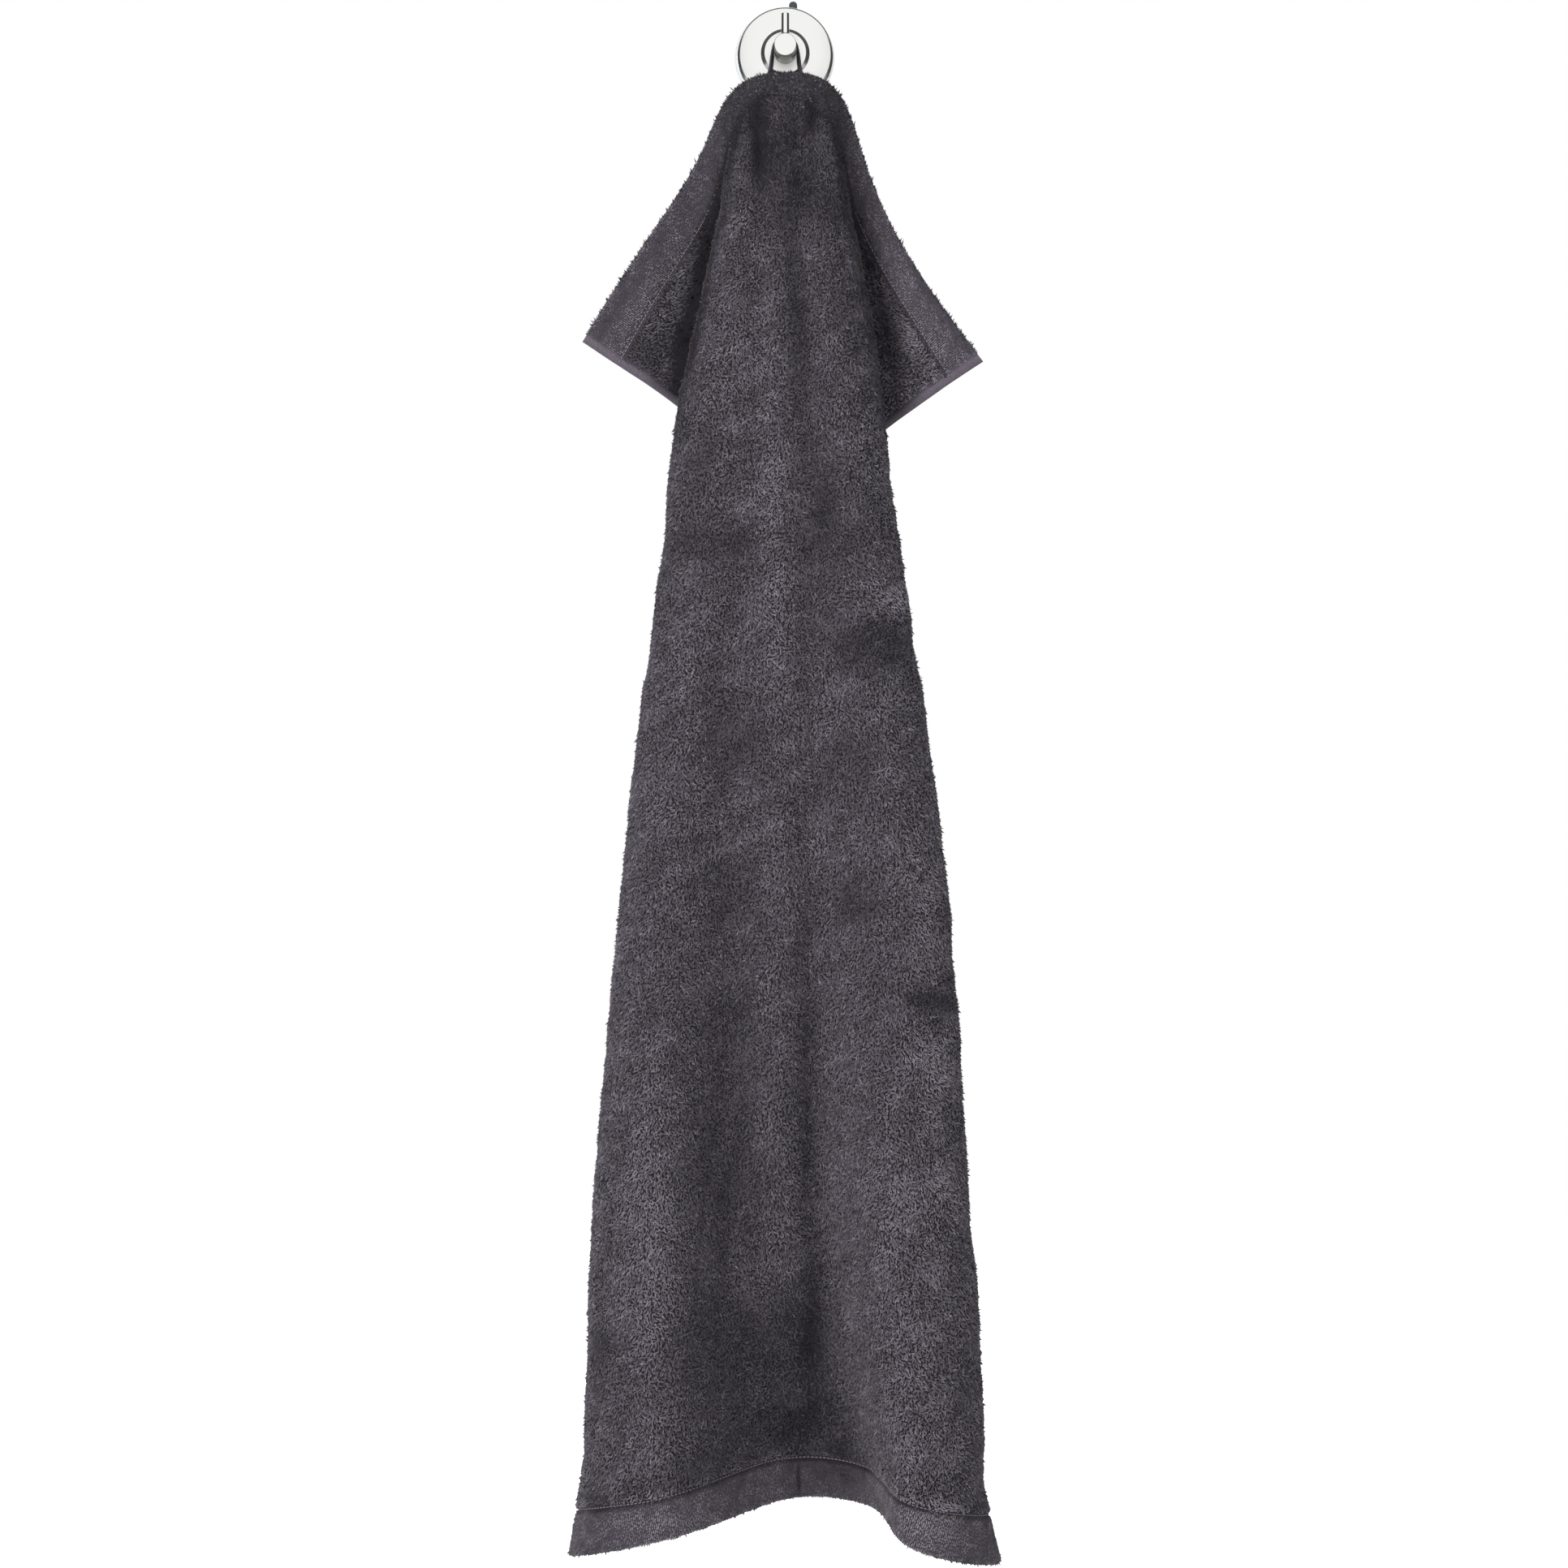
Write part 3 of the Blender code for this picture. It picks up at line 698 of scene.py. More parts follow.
    # Columns: x, z, half length, half width, tilt in degrees, and how much lighter the pile is
    # painted there: painted highlights on lobes and painted shade in folds and valleys. Where it
    # is below 0, more of the loops there also lie the other way. A negative value is darker.
    lie_and_painted_light_spots: tuple = (
        (-20, -52, 15, 6.5, 93, -0.85), (-19, -80, 24, 5.5, 91, -0.7),
        (19, -54, 16, 4.6, 92, -0.72), (0, -68, 28, 30, 0, -0.4),
        (-39, -78, 32, 3.2, 74, -0.95), (43, -95, 42, 3, 102, -0.85),
        (26, -112, 34, 13, -36, -0.42), (-8, -30, 60, 26, 0, -0.3),
        (8, -170, 70, 9, 97, -0.25), (10, -226, 50, 10, 90, -0.2),
        (24, -332, 48, 14, 90, -0.34), (-8, -360, 90, 9, 91, 0.16),
        (-46, -352, 34, 16, 0, -0.34), (-58, -300, 18, 30, 0, -0.16),
        (78, -390, 10, 12, -6, 0.4), (62, -420, 32, 20, -6, -0.4),
        (50, -345, 18, 40, 0, -0.16), (-34, -487, 22, 24, 0, -0.3),
        (42, -498, 24, 20, 0, -0.18), (50, -602, 18, 13, 20, -0.34),
        (104, -671, 24, 8, -5, -0.5), (104, -712, 22, 20, 0, 0.22),
        (-36, -600, 18, 30, 0, -0.22), (-36, -700, 17, 60, 0, -0.3),
        (-36, -800, 20, 50, 0, -0.34), (17, -740, 120, 8, 90, -0.24),
        (-92, -840, 18, 90, 0, 0.22), (72, -840, 14, 90, 0, 0.16),
        (-12, -920, 52, 40, 0, -0.4), (20, -905, 48, 9, 90, -0.45),
        (10, -975, 42, 22, 0, -0.46), (46, -998, 20, 18, 0, -0.3),
        (-50, -1000, 22, 20, 0, -0.24), (-127, -908, 10, 11, 0, -0.45),
        (-130, -1020, 9, 8, 0, -0.45), (-98, -1030, 28, 14, 0, 0.26),
        (100, -1028, 26, 18, 0, 0.44), (-40, -1015, 40, 12, 20, 0.14),
        (84, -960, 22, 40, 0, 0.18), (-60, -160, 88, 8, 79, -0.95),
        (-72, -215, 40, 8, 78, -0.6), (60, -150, 66, 6, 106, -0.32),
        (74, -200, 30, 12, 112, -0.3), (42, -185, 50, 12, 100, -0.3),
        (9.5, -1015, 9, 1.4, 90, -0.8), (32, -1004, 24, 14, 0, -0.36),
        (-2, -112, 34, 34, 0, -0.22), (42, -1008, 10, 4, 98, -0.35),
        (-35, -1016, 12, 3, 60, -0.3), (-104, -186, 26, 14, 55, 0.16),
        (116, -206, 24, 14, -55, 0.12), (-116, -176, 60, 4.5, 57, -0.35),
        (111, -181, 60, 4.5, -57, -0.38), (90, -204, 48, 10, -56, 0.13),
        (104, -800, 14, 90, 0, 0.22), (98, -590, 16, 50, 0, 0.16),
        (-92, -214, 26, 17, 40, -0.34),
    )
    downs: Points = field(init=False)
    middle: Points = field(init=False)
    normals: Points = field(init=False)
    across_mm: Points = field(init=False)

    def __post_init__(self) -> None:
        """Works out the fine grid once."""
        near = np.concatenate([np.arange(0.0, 6.0, 1.0), np.arange(6.0, 24.0, 3.0)])
        near = np.concatenate([near, np.arange(24.0, 34.0, 1.25)])
        body = np.arange(36.0, self.length - 36.0 + self.row_step, self.row_step)
        body = body[body < self.length - 35.0]
        self.downs = np.concatenate([near, body, self.length - near[::-1]])
        middle = self.surface(self.downs)
        normals = self.normals_of(middle)
        chords = np.linalg.norm(np.diff(middle, axis=1), axis=2)
        self.across_mm = np.hstack([np.zeros((len(middle), 1)), np.cumsum(chords, axis=1)])
        self.middle = middle + normals * self.relief(middle, normals)[:, :, None]
        self.normals = self.normals_of(self.middle)

    def fold_rows(self) -> tuple[Points, Points]:
        """Both tables as one.

        Returns:
            The distances down the cloth, and for each of them a point on every fold.
        """
        downs = [row[0] for row in (*self.wings, *self.curtain)]
        rows = [list(row[1:]) for row in self.wings]
        for _, height, left, right, selvedge, *points in self.curtain:
            sides = [
                (selvedge, (edge + selvedge) / 2, edge, edge * self.lobe_share,
                 edge * self.groove_share)
                for edge in (left, right)
            ]
            drops = (*sides[0], 0.0, *reversed(sides[1]))
            rows.append([(x, y, height - drop) for (x, y), drop in zip(points, drops)])
        return np.array(downs, float), np.array(rows, float)

    def surface(self, downs: Sequence[float]) -> Points:
        """The middle surface before its fine creases.

        Args:
            downs: Distances down the cloth.

        Returns:
            One row of points for each distance, from the left selvedge to the right one.
        """
        levels, table = self.fold_rows()
        crossings = curve_through(levels, table.reshape(len(levels), -1), downs)
        rows = []
        for crossing in crossings.reshape(len(downs), -1, 3):
            chords = np.linalg.norm(np.diff(crossing, axis=0), axis=1)
            knots = np.concatenate([[0.0], np.cumsum(chords)])
            places = [
                knots[span] + chords[span] * k / faces
                for span, faces in enumerate(self.span_faces) for k in range(faces)
            ]
            rows.append(curve_through(knots, crossing, [*places, knots[-1]]))
        return np.array(rows)

    @staticmethod
    def normals_of(middle: Points) -> Points:
        """Unit normals, which point away from the wall on the front panel."""
        return unit(np.cross(np.gradient(middle, axis=0), np.gradient(middle, axis=1)))

    def relief(self, middle: Points, normals: Points) -> Points:
        """Soft creases and slight unevenness, as millimetres along the normals.

        Args:
            middle: The middle surface.
            normals: Its normals.

        Returns:
            One height for each of its points.
        """
        down = self.downs[:, None]
        uneven = sum(
            height * ripples(self.across_mm, down, wave, seed)
            for height, wave, seed in self.unevenness
        )
        calm_end = smooth_step(-12.0, 48.0, np.minimum(down, self.length - down))
        x, y, z = np.moveaxis(middle, 2, 0)
        facing = smooth_step(0.15, 0.6, -normals[:, :, 1])
        panel = np.maximum(smooth_step(-38.0, -48.0, y), smooth_step(-880.0, -930.0, z))
        return uneven * calm_end + facing * panel * self.spots(self.creases, x, z)

    @staticmethod
    def spots(table: Sequence[tuple], x: Points, z: Points) -> Points:
        """Sums a table's soft oval spots at some places of the front view.

        Args:
            table: Rows of x, z, half length, half width, tilt in degrees and strength.
            x: Places to the right.
            z: Heights.

        Returns:
            The summed strength at each place.
        """
        total = np.zeros(np.shape(x))
        for middle_x, middle_z, length, width, tilt, strength in table:
            turn = math.radians(tilt)
            along = (x - middle_x) * math.cos(turn) + (z - middle_z) * math.sin(turn)
            beside = (z - middle_z) * math.cos(turn) - (x - middle_x) * math.sin(turn)
            total += strength * np.exp(-((along / length) ** 2) - (beside / width) ** 2)
        return total

    def edge_distances(self) -> tuple[Points, Points]:
        """How far each grid point lies from the nearer hem's edge and from the nearer selvedge."""
        from_end = np.minimum(self.downs, self.length - self.downs)[:, None]
        from_side = np.minimum(self.across_mm, self.across_mm[:, -1:] - self.across_mm)
        return from_end, from_side

    def half_thickness(self) -> Points:
        """Half the ground's thickness over the grid: full hems, pinched seams, thin selvedges."""
        from_end, from_side = self.edge_distances()
        hem = 1.0 - smooth_step(self.hem_depth - 4.0, self.hem_depth, from_end)
        half = self.ground_half + (self.hem_half - self.ground_half) * hem
        half = half + self.lip_rise * bump_at(from_end, self.hem_depth + 3.2, 1.7)
        seam = bump_at(from_end, self.hem_depth, 1.6)
        half = half * (1.0 - seam) + self.stitch_half * seam
        fold = np.clip(1.0 - from_end / self.hem_fold, 0.0, 1.0)
        half = half * np.sqrt(1.0 - 0.85 * fold**2)
        band = smooth_step(self.selvedge_band - 2.0, self.selvedge_band, from_side)
        return self.selvedge_half + (half - self.selvedge_half) * np.maximum(band, 0.35 * hem)

    def bare_share(self) -> Points:
        """How bare the ground is over the grid: 1 on the selvedges, less along the hems' seams."""
        from_end, from_side = self.edge_distances()
        covered = smooth_step(self.selvedge_band - 1.5, self.selvedge_band, from_side)
        seam = bump_at(from_end, self.hem_depth, 1.4)
        hem = 1.0 - smooth_step(self.hem_depth - 4.0, self.hem_depth - 1.0, from_end)
        free = self.free_corner()
        below = (self.downs > self.length / 2)[:, None]
        thin = (0.15 + 0.2 * np.maximum(free, below)) * hem
        return np.maximum(1.0 - covered, np.maximum((0.12 + 0.5 * free) * seam, thin))

    def free_corner(self) -> Points:
        """How far the grid is one of the top hem's free corners: 1 there, 0 elsewhere."""
        out = smooth_step(self.crest - 8.0, self.crest + 8.0, np.abs(self.middle[:, :, 0]))
        return out * (self.downs < self.length / 2)[:, None]

    def face(self, side: Side) -> Points:
        """One face of the ground, over the grid."""
        return self.middle + side.value * self.normals * self.half_thickness()[:, :, None]

    @staticmethod
    def read(grid: Points, row: Points, column: Points) -> Points:
        """Reads a grid between its points, by rows and columns with fractions."""
        if grid.ndim == 2:
            grid = grid[:, :, None]
        r = np.clip(row.astype(int), 0, grid.shape[0] - 2)
        c = np.clip(column.astype(int), 0, grid.shape[1] - 2)
        a = (row - r)[:, None]
        b = (column - c)[:, None]
        upper = grid[r, c] * (1 - b) + grid[r, c + 1] * b
        lower = grid[r + 1, c] * (1 - b) + grid[r + 1, c + 1] * b
        return upper * (1 - a) + lower * a


@dataclass
class TowelSheet:
    """The towel's ground: one closed thin sheet over the folds."""

    cloth: FoldedCloth
    flat: tuple[float, float] = (500.0, 1020.0)

    def build(self, finish: bpy.types.Material) -> bpy.types.Object:
        """Builds the sheet, which stands for the towel's solid.

        Args:
            finish: The ground's material.

        Returns:
            The sheet.
        """
        rows, columns = self.cloth.middle.shape[:2]
        behind = rows * columns
        points = np.vstack([self.cloth.face(side).reshape(-1, 3) for side in Side])
        numbers = np.arange(behind).reshape(rows, columns)
        corners = [numbers[:-1, :-1], numbers[1:, :-1], numbers[1:, 1:], numbers[:-1, 1:]]
        quads = np.stack(corners, axis=2).reshape(-1, 4)
        rim = [numbers[0, :], numbers[1:, -1], numbers[-1, -2::-1], numbers[-2:0:-1, 0]]
        rim = np.concatenate(rim)
        after = np.roll(rim, -1)
        edge = np.column_stack([rim, after, behind + after, behind + rim])
        faces = np.vstack([quads, quads[:, ::-1] + behind, edge])
        mesh = quick_mesh("towel_sheet", points, faces)
        # Where the ground isn't bare, its material paints it dark as painted shade under the loops.
        store(mesh, "bare", np.tile(self.cloth.bare_share().ravel(), 2))
        return add_piece(mesh, finish, "towel_cloth")


@dataclass
class TerryPile:
    """The loops that stand on both faces of the ground, and along the hems' folded edges.

    Each loop is a small ridge of yarn: it rises from its root to its tip along the way it lies,
    and both its flanks go down into the ground.
    """

    cloth: FoldedCloth
    # How far apart the loops stand across and down, on each face and round the hems' edges.
    pitch: dict = field(
        default_factory=lambda: {Side.FRONT: (1.42, 1.6), Side.BACK: (1.75, 1.95)}
    )
    rim_pitch: float = 1.3
    rim_rows: int = 7
    rim_radius: float = 0.9
    rim_turn: float = 1.4
    # How evenly the loops are set, as shares of their pitch: in ribs on the hems.
    hem_loose: float = 0.16
    loose: float = 0.55
    reach: float = 1.35
    height: float = 1.6
    root_share: float = 0.35
    crown: float = 0.85
    sink: float = 0.2
    proud: float = 0.8
    proud_share: float = 0.05
    seam_gap: float = 0.9
    most_loops: int = 95000
    # Strength, wavelength and seed of the patches that run over the pile, and of the hems' own.
    mottle: tuple = ((0.03, 70.0, 71), (0.05, 21.0, 72), (0.05, 7.0, 73))
    hem_mottle: tuple = (0.065, 11.0, 74)
    own_tone: float = 0.11
    mean_tone: float = 0.66
    painted_light_tone: float = 0.8
    # Painted shade where the panel's flanks turn from the light: between these heights, and so far
    # out.
    flank_low: tuple[float, float] = (-300.0, -240.0)
    flank_high: tuple[float, float] = (-42.0, -52.0)
    flank_out: float = 80.0
    flank_painted_shade: float = 0.45

    def hem_share(self, v: Points) -> Points:
        """1 for the loops on a hem, 0 for those past its seam."""
        depth = self.cloth.hem_depth
        return 1.0 - smooth_step(depth - 3.0, depth, np.minimum(v, self.cloth.length - v))

    def scatter(self, side: Side, seed: int) -> Spots:
        """Places the loops of one face: in ribs on the hems, and loosely on the body.

        Args:
            side: Which face they stand on.
            seed: Which jitter is used.

        Returns:
            For every loop its root point, normal, ways down and across, and flat place.
        """
        cloth = self.cloth
        pitch, step = self.pitch[side]
        dice = np.random.default_rng(seed)
        row_at, column_at = [], []
        free = cloth.free_corner()
        columns = np.arange(cloth.middle.shape[1])
        numbers = np.arange(len(cloth.downs))
        for down in np.arange(step / 2, cloth.length, step):
            row = np.interp(down, cloth.downs, numbers)
            low = min(int(row), len(numbers) - 2)
            arcs = cloth.across_mm[low] * (1 - row + low) + cloth.across_mm[low + 1] * (row - low)
            spots = np.arange(cloth.selvedge_band, arcs[-1] - cloth.selvedge_band, pitch)
            on_hem = min(down, cloth.length - down) < cloth.hem_depth
            loose = self.hem_loose if on_hem else self.loose
            spots = spots + dice.uniform(-loose, loose, len(spots)) * pitch
            at = down + dice.uniform(-0.5, 0.5, len(spots)) * step
            rows = np.interp(np.clip(at, 0.0, cloth.length), cloth.downs, numbers)
            across = np.interp(spots, arcs, columns)
            open_seam = np.maximum(cloth.read(free, rows, across)[:, 0], at > cloth.length / 2)
            gap = self.seam_gap * np.maximum(open_seam, 0.3)
            kept = np.abs(np.minimum(at, cloth.length - at) - cloth.hem_depth) > gap
            row_at.append(rows[kept])
            column_at.append(across[kept])
        spot = np.concatenate(row_at), np.concatenate(column_at)
        return {
            "point": cloth.read(cloth.face(side), *spot),
            "normal": unit(cloth.read(cloth.normals, *spot)) * side.value,
            "down": unit(cloth.read(np.gradient(cloth.middle, axis=0), *spot)),
            "across": unit(cloth.read(np.gradient(cloth.middle, axis=1), *spot)),
            "u": cloth.read(cloth.across_mm, *spot)[:, 0],
            "v": np.interp(spot[0], numbers, cloth.downs),
        }

    def tones_with_painted_light(self, spots: Spots, dice: np.random.Generator) -> Points:
        """How light each loop's crown is painted, from 0 to 1, with painted shade and highlights.

        Args:
            spots: What scatter gives.
            dice: The source of chance.

        Returns:
            One tone for each loop.
        """
        cloth = self.cloth
        u, v = spots["u"], spots["v"]
        x, _, z = spots["point"].T
        hem = self.hem_share(v)
        mottle = sum(share * ripples(u, v, wave, seed) for share, wave, seed in self.mottle)
        share, wave, seed = self.hem_mottle
        mottle = mottle + share * hem * ripples(u, v, wave, seed)
        near = smooth_step(cloth.crest + 14.0, cloth.crest - 14.0, np.abs(x))
        crest = hem * near * (v < cloth.hem_depth)
        own = dice.normal(0.0, self.own_tone, len(u)) * (1.0 - 0.3 * hem + 1.3 * crest)
        past_seam = np.minimum(v, cloth.length - v) - cloth.hem_depth
        # Painted light and shade along each hem's seam: at the bottom a highlight on the lip past
        # the seam and shade on the hem's side, at the top the reverse.
        above, below = bump_at(past_seam, 2.4, 1.5), bump_at(past_seam, -1.8, 1.4)
        at_bottom = v > cloth.length / 2
        seam = np.where(at_bottom, 0.16 * above - 0.3 * below, 0.12 * below - 0.36 * above)
        # Painted shade on the panel's flanks, where they face sideways between flank_low and
        # flank_high.
        sideways_shade_mask = smooth_step(0.75, 0.25, np.abs(spots["normal"][:, 1]))
        flank_shade = sideways_shade_mask * smooth_step(*self.flank_low, z) * smooth_step(*self.flank_high, z)
        flank_shade = self.flank_painted_shade * flank_shade * (np.abs(x) < self.flank_out)
        hems = 0.03 * hem - 0.12 * crest
        # The lie term paints highlights on lobes and shade in folds and valleys.
        shade = mottle + own + seam - flank_shade + hems + self.painted_light_tone * self.lie_and_painted_light_of(spots)
        return np.clip(self.mean_tone + shade, 0.03, 1.0)

    def lie_and_painted_light_of(self, spots: Spots) -> Points:
        """The pile's lie and painted light at each loop: above 0 painted lighter, below 0 darker.
        """
        facing = smooth_step(0.1, 0.6, -spots["normal"][:, 1])
        x, _, z = spots["point"].T
        return facing * self.cloth.spots(self.cloth.lie_and_painted_light_spots, x, z)

    def leaves(self, spots: Spots, seed: int) -> tuple[Points, Points, Points]:
        """Turns the placed loops into ridges of yarn.

        Args:
            spots: What scatter gives.
            seed: Which chance is used for their lie.

        Returns:
            Points, four for each loop, their two faces, and the tone of each point, which is
            darker at the roots as painted shade.
        """
        dice = np.random.default_rng(seed)
        count = len(spots["v"])
        u, v, normal = spots["u"], spots["v"], spots["normal"]
        hem = self.hem_share(v)
        # On the body the loops lie in patches, on the hems they all hang down.
        flat = smooth_step(0.1, 1.3, ripples(u, v * 1.4, 46.0, 21)) * (1.0 - hem)
        lie = 0.45 * ripples(u, v, 38.0, 22) + 0.35 * ripples(u, v, 9.0, 23)
        turn = lie * (1.0 - hem) + dice.normal(0.0, 1.0, count) * (0.62 - 0.5 * hem)
        against = dice.uniform(0.0, 1.0, count) < 0.2 - self.lie_and_painted_light_of(spots)
        turn = turn + math.pi * against
        way = spots["down"] * np.cos(turn)[:, None] + spots["across"] * np.sin(turn)[:, None]
        beside = np.cross(normal, way)
        size = dice.uniform(0.6, 1.3, count)
        size = size + self.proud * (dice.uniform(0.0, 1.0, count) < self.proud_share)
        spike = spots.get("spike", np.zeros(count)) * dice.uniform(0.0, 1.0, count) ** 4
        height = self.height * size * (1.0 - 0.4 * flat) * (1.0 - 0.45 * hem) * (1.0 + 2.4 * spike)
        from_seam = np.minimum(v, self.cloth.length - v) - self.cloth.hem_depth
        reach = self.reach * dice.uniform(0.75, 1.2, count) * (1.0 + 0.2 * flat)
        reach = reach * (1.0 - 0.35 * hem) * (1.0 - 0.5 * bump_at(from_seam, 0.0, 1.8))
        crown = self.crown * dice.uniform(0.75, 1.2, count)
        crown = crown * (1.0 - 0.25 * hem) * (1.0 + 0.4 * spike)
        tip = dice.normal(0.0, 0.3, count) * (1.0 - 0.7 * hem)
        base = spots["point"]
        foot = way * reach[:, None]
        wide = beside * crown[:, None]
        sunk = base - normal * self.sink
        low = base - foot + normal * (self.root_share * height)[:, None]
        high = base + foot + normal * height[:, None] + beside * tip[:, None]
        points = np.stack([low, sunk - wide, sunk + wide, high], axis=1).reshape(-1, 3)
        number = np.arange(count)[:, None] * 4
        faces = np.stack([number + (0, 1, 3), number + (0, 3, 2)], axis=1).reshape(-1, 3)
        # Painted shade at the roots: the root points take only a share of the loop's tone, the tip
        # all of it.
        root = np.where(hem > 0.5, 0.5, 0.2)
        root_shade_shares = np.column_stack([np.full(count, 0.75), root, root, np.ones(count)])
        tones_with_painted_light = self.tones_with_painted_light(spots, dice)[:, None] * root_shade_shares
        return points, faces, tones_with_painted_light.ravel()

    def rim_spots(self, at_top: bool, seed: int) -> Spots:
        """Places the loops round one hem's folded edge, in ribs from its front over to its back.

        Args:
            at_top: Whether it is the top hem or the bottom one.
            seed: Which jitter is used.

        Returns:
            The same values as scatter gives, and how far a loop may stand out as a fringe.
        """
        cloth = self.cloth
        dice = np.random.default_rng(seed)
        row, inner = (0, 3) if at_top else (-1, -4)
        arcs = cloth.across_mm[row]
        columns = np.arange(len(arcs))
        spots = np.arange(cloth.selvedge_band, arcs[-1] - cloth.selvedge_band, self.rim_pitch)
        turns = np.linspace(-self.rim_turn, self.rim_turn, self.rim_rows)
        turn = np.tile(turns, len(spots))
        spots = np.repeat(spots, self.rim_rows)
        turn = turn + dice.normal(0.0, 0.12, len(spots))
        spots = spots + dice.normal(0.0, 0.12, len(spots))
        column = np.interp(spots, arcs, columns)
        line = cloth.middle[row]
        point, out, face = [
            np.column_stack([np.interp(column, columns, values[:, k]) for k in range(3)])
            for values in (line, unit(line - cloth.middle[inner]), cloth.normals[row])
        ]
        normal = unit(out * np.cos(turn)[:, None] + face * np.sin(turn)[:, None])
        across = unit(np.gradient(line, axis=0))[column.astype(int)]
        return {
            "point": point - out * self.rim_radius + normal * self.rim_radius,
            "normal": normal,
            "down": unit(np.cross(across, normal)),
            "across": across,
            "u": spots,
            "v": np.full(len(spots), 0.0 if at_top else cloth.length),
            "spike": np.full(len(spots), 1.0 if at_top else 0.8),
        }

    def piece(
        self, name: str, spots: Spots, seed: int, finish: bpy.types.Material
    ) -> bpy.types.Object:
        """Builds one piece of pile from placed loops."""
        points, faces, tones_with_painted_light = self.leaves(spots, seed)
        mesh = quick_mesh(name, points, faces)
        store(mesh, "tone", tones_with_painted_light)
        return add_piece(mesh, finish)

    def build(self, finish: bpy.types.Material) -> list[bpy.types.Object]:
        """Builds every loop, in pieces small enough to export.

        Args:
            finish: The loops' material.

        Returns:
            The pieces of pile.
        """
        pieces = []
        for side, seed in ((Side.FRONT, 31), (Side.BACK, 41)):
            spots = self.scatter(side, seed)
            order = np.argsort(spots["v"], kind="stable")
            parts = math.ceil(len(order) / self.most_loops)
            for number, chosen in enumerate(np.array_split(order, parts), start=1):
                some = {name: values[chosen] for name, values in spots.items()}
                name = f"pile_{side.name.lower()}_{number}"
                pieces.append(self.piece(name, some, seed + number, finish))
        for at_top, name in ((True, "pile_top_hem_edge"), (False, "pile_bottom_hem_edge")):
            spots = self.rim_spots(at_top, 51 + at_top)
            pieces.append(self.piece(name, spots, 61 + at_top, finish))
        return pieces


@dataclass
class HemStitches:
    """The sewn line of each hem: one row of short lockstitches on either face of the cloth.

    On the free corners of the top hem the stitches show. Elsewhere they lie low in the pile.
    """

    cloth: FoldedCloth
    pitch: float = 2.9
    length: float = 2.5
    thread: float = 0.36
    end_gap: float = 3.0
    lift: float = 0.6
    low_lift: float = 0.1
    crest_lift: float = -0.3
    sides: int = 6

    def rows(self) -> list[tuple[Points, Points, Points]]:
        """Places the stitches.

        Returns:
            For each row of them their middles, their ways along the seam and their ways out.
        """
        cloth = self.cloth
        columns = np.arange(cloth.middle.shape[1])
        made = []
        for down in (cloth.hem_depth, cloth.length - cloth.hem_depth):
            level = float(np.interp(down, cloth.downs, np.arange(len(cloth.downs))))
            arcs = cloth.across_mm[round(level)]
            spots = np.arange(self.end_gap, arcs[-1] - self.end_gap, self.pitch)
            at = np.full(len(spots), level), np.interp(spots, arcs, columns)
            along = unit(cloth.read(np.gradient(cloth.middle, axis=1), *at))
            low = self.crest_lift if down < cloth.length / 2 else self.low_lift
            lift = low + (self.lift - low) * cloth.read(cloth.free_corner(), *at)
            for side in Side:
                out = unit(cloth.read(cloth.normals, *at)) * side.value
                made.append((cloth.read(cloth.face(side), *at) + out * lift, along, out))
        return made

    def build(self, finish: bpy.types.Material) -> bpy.types.Object:
        """Builds every stitch as a small spindle of thread, all in one piece.

        Args:
            finish: The thread's material.

        Returns:
            The piece.
        """
        turns = np.arange(self.sides) * math.tau / self.sides
        ring = np.column_stack([np.cos(turns), np.sin(turns)]) * self.thread
        points = []
        for middles, along, out in self.rows():
            for middle, way, up, across in zip(middles, along, out, np.cross(out, along)):
                round_it = ring[:, :1] * across + ring[:, 1:] * up
                points.append(middle - way * self.length / 2)
                points += list(middle - way * self.length / 4 + round_it)
                points += list(middle + way * self.length / 4 + round_it)
                points.append(middle + way * self.length / 2)
        size = 2 * self.sides + 2
        near = 1 + np.arange(self.sides)
        after = np.roll(near, -1)
        far, far_after = near + self.sides, after + self.sides
        first, last = np.zeros(self.sides, int), np.full(self.sides, size - 1)
        threes = ((first, after, near), (near, after, far), (after, far_after, far),
                  (far, far_after, last))
        one = np.vstack([np.column_stack(three) for three in threes])
        starts = np.arange(len(points) // size) * size
        faces = (starts[:, None, None] + one).reshape(-1, 3)
        return add_piece(quick_mesh("hem_stitches", np.array(points), faces), finish)


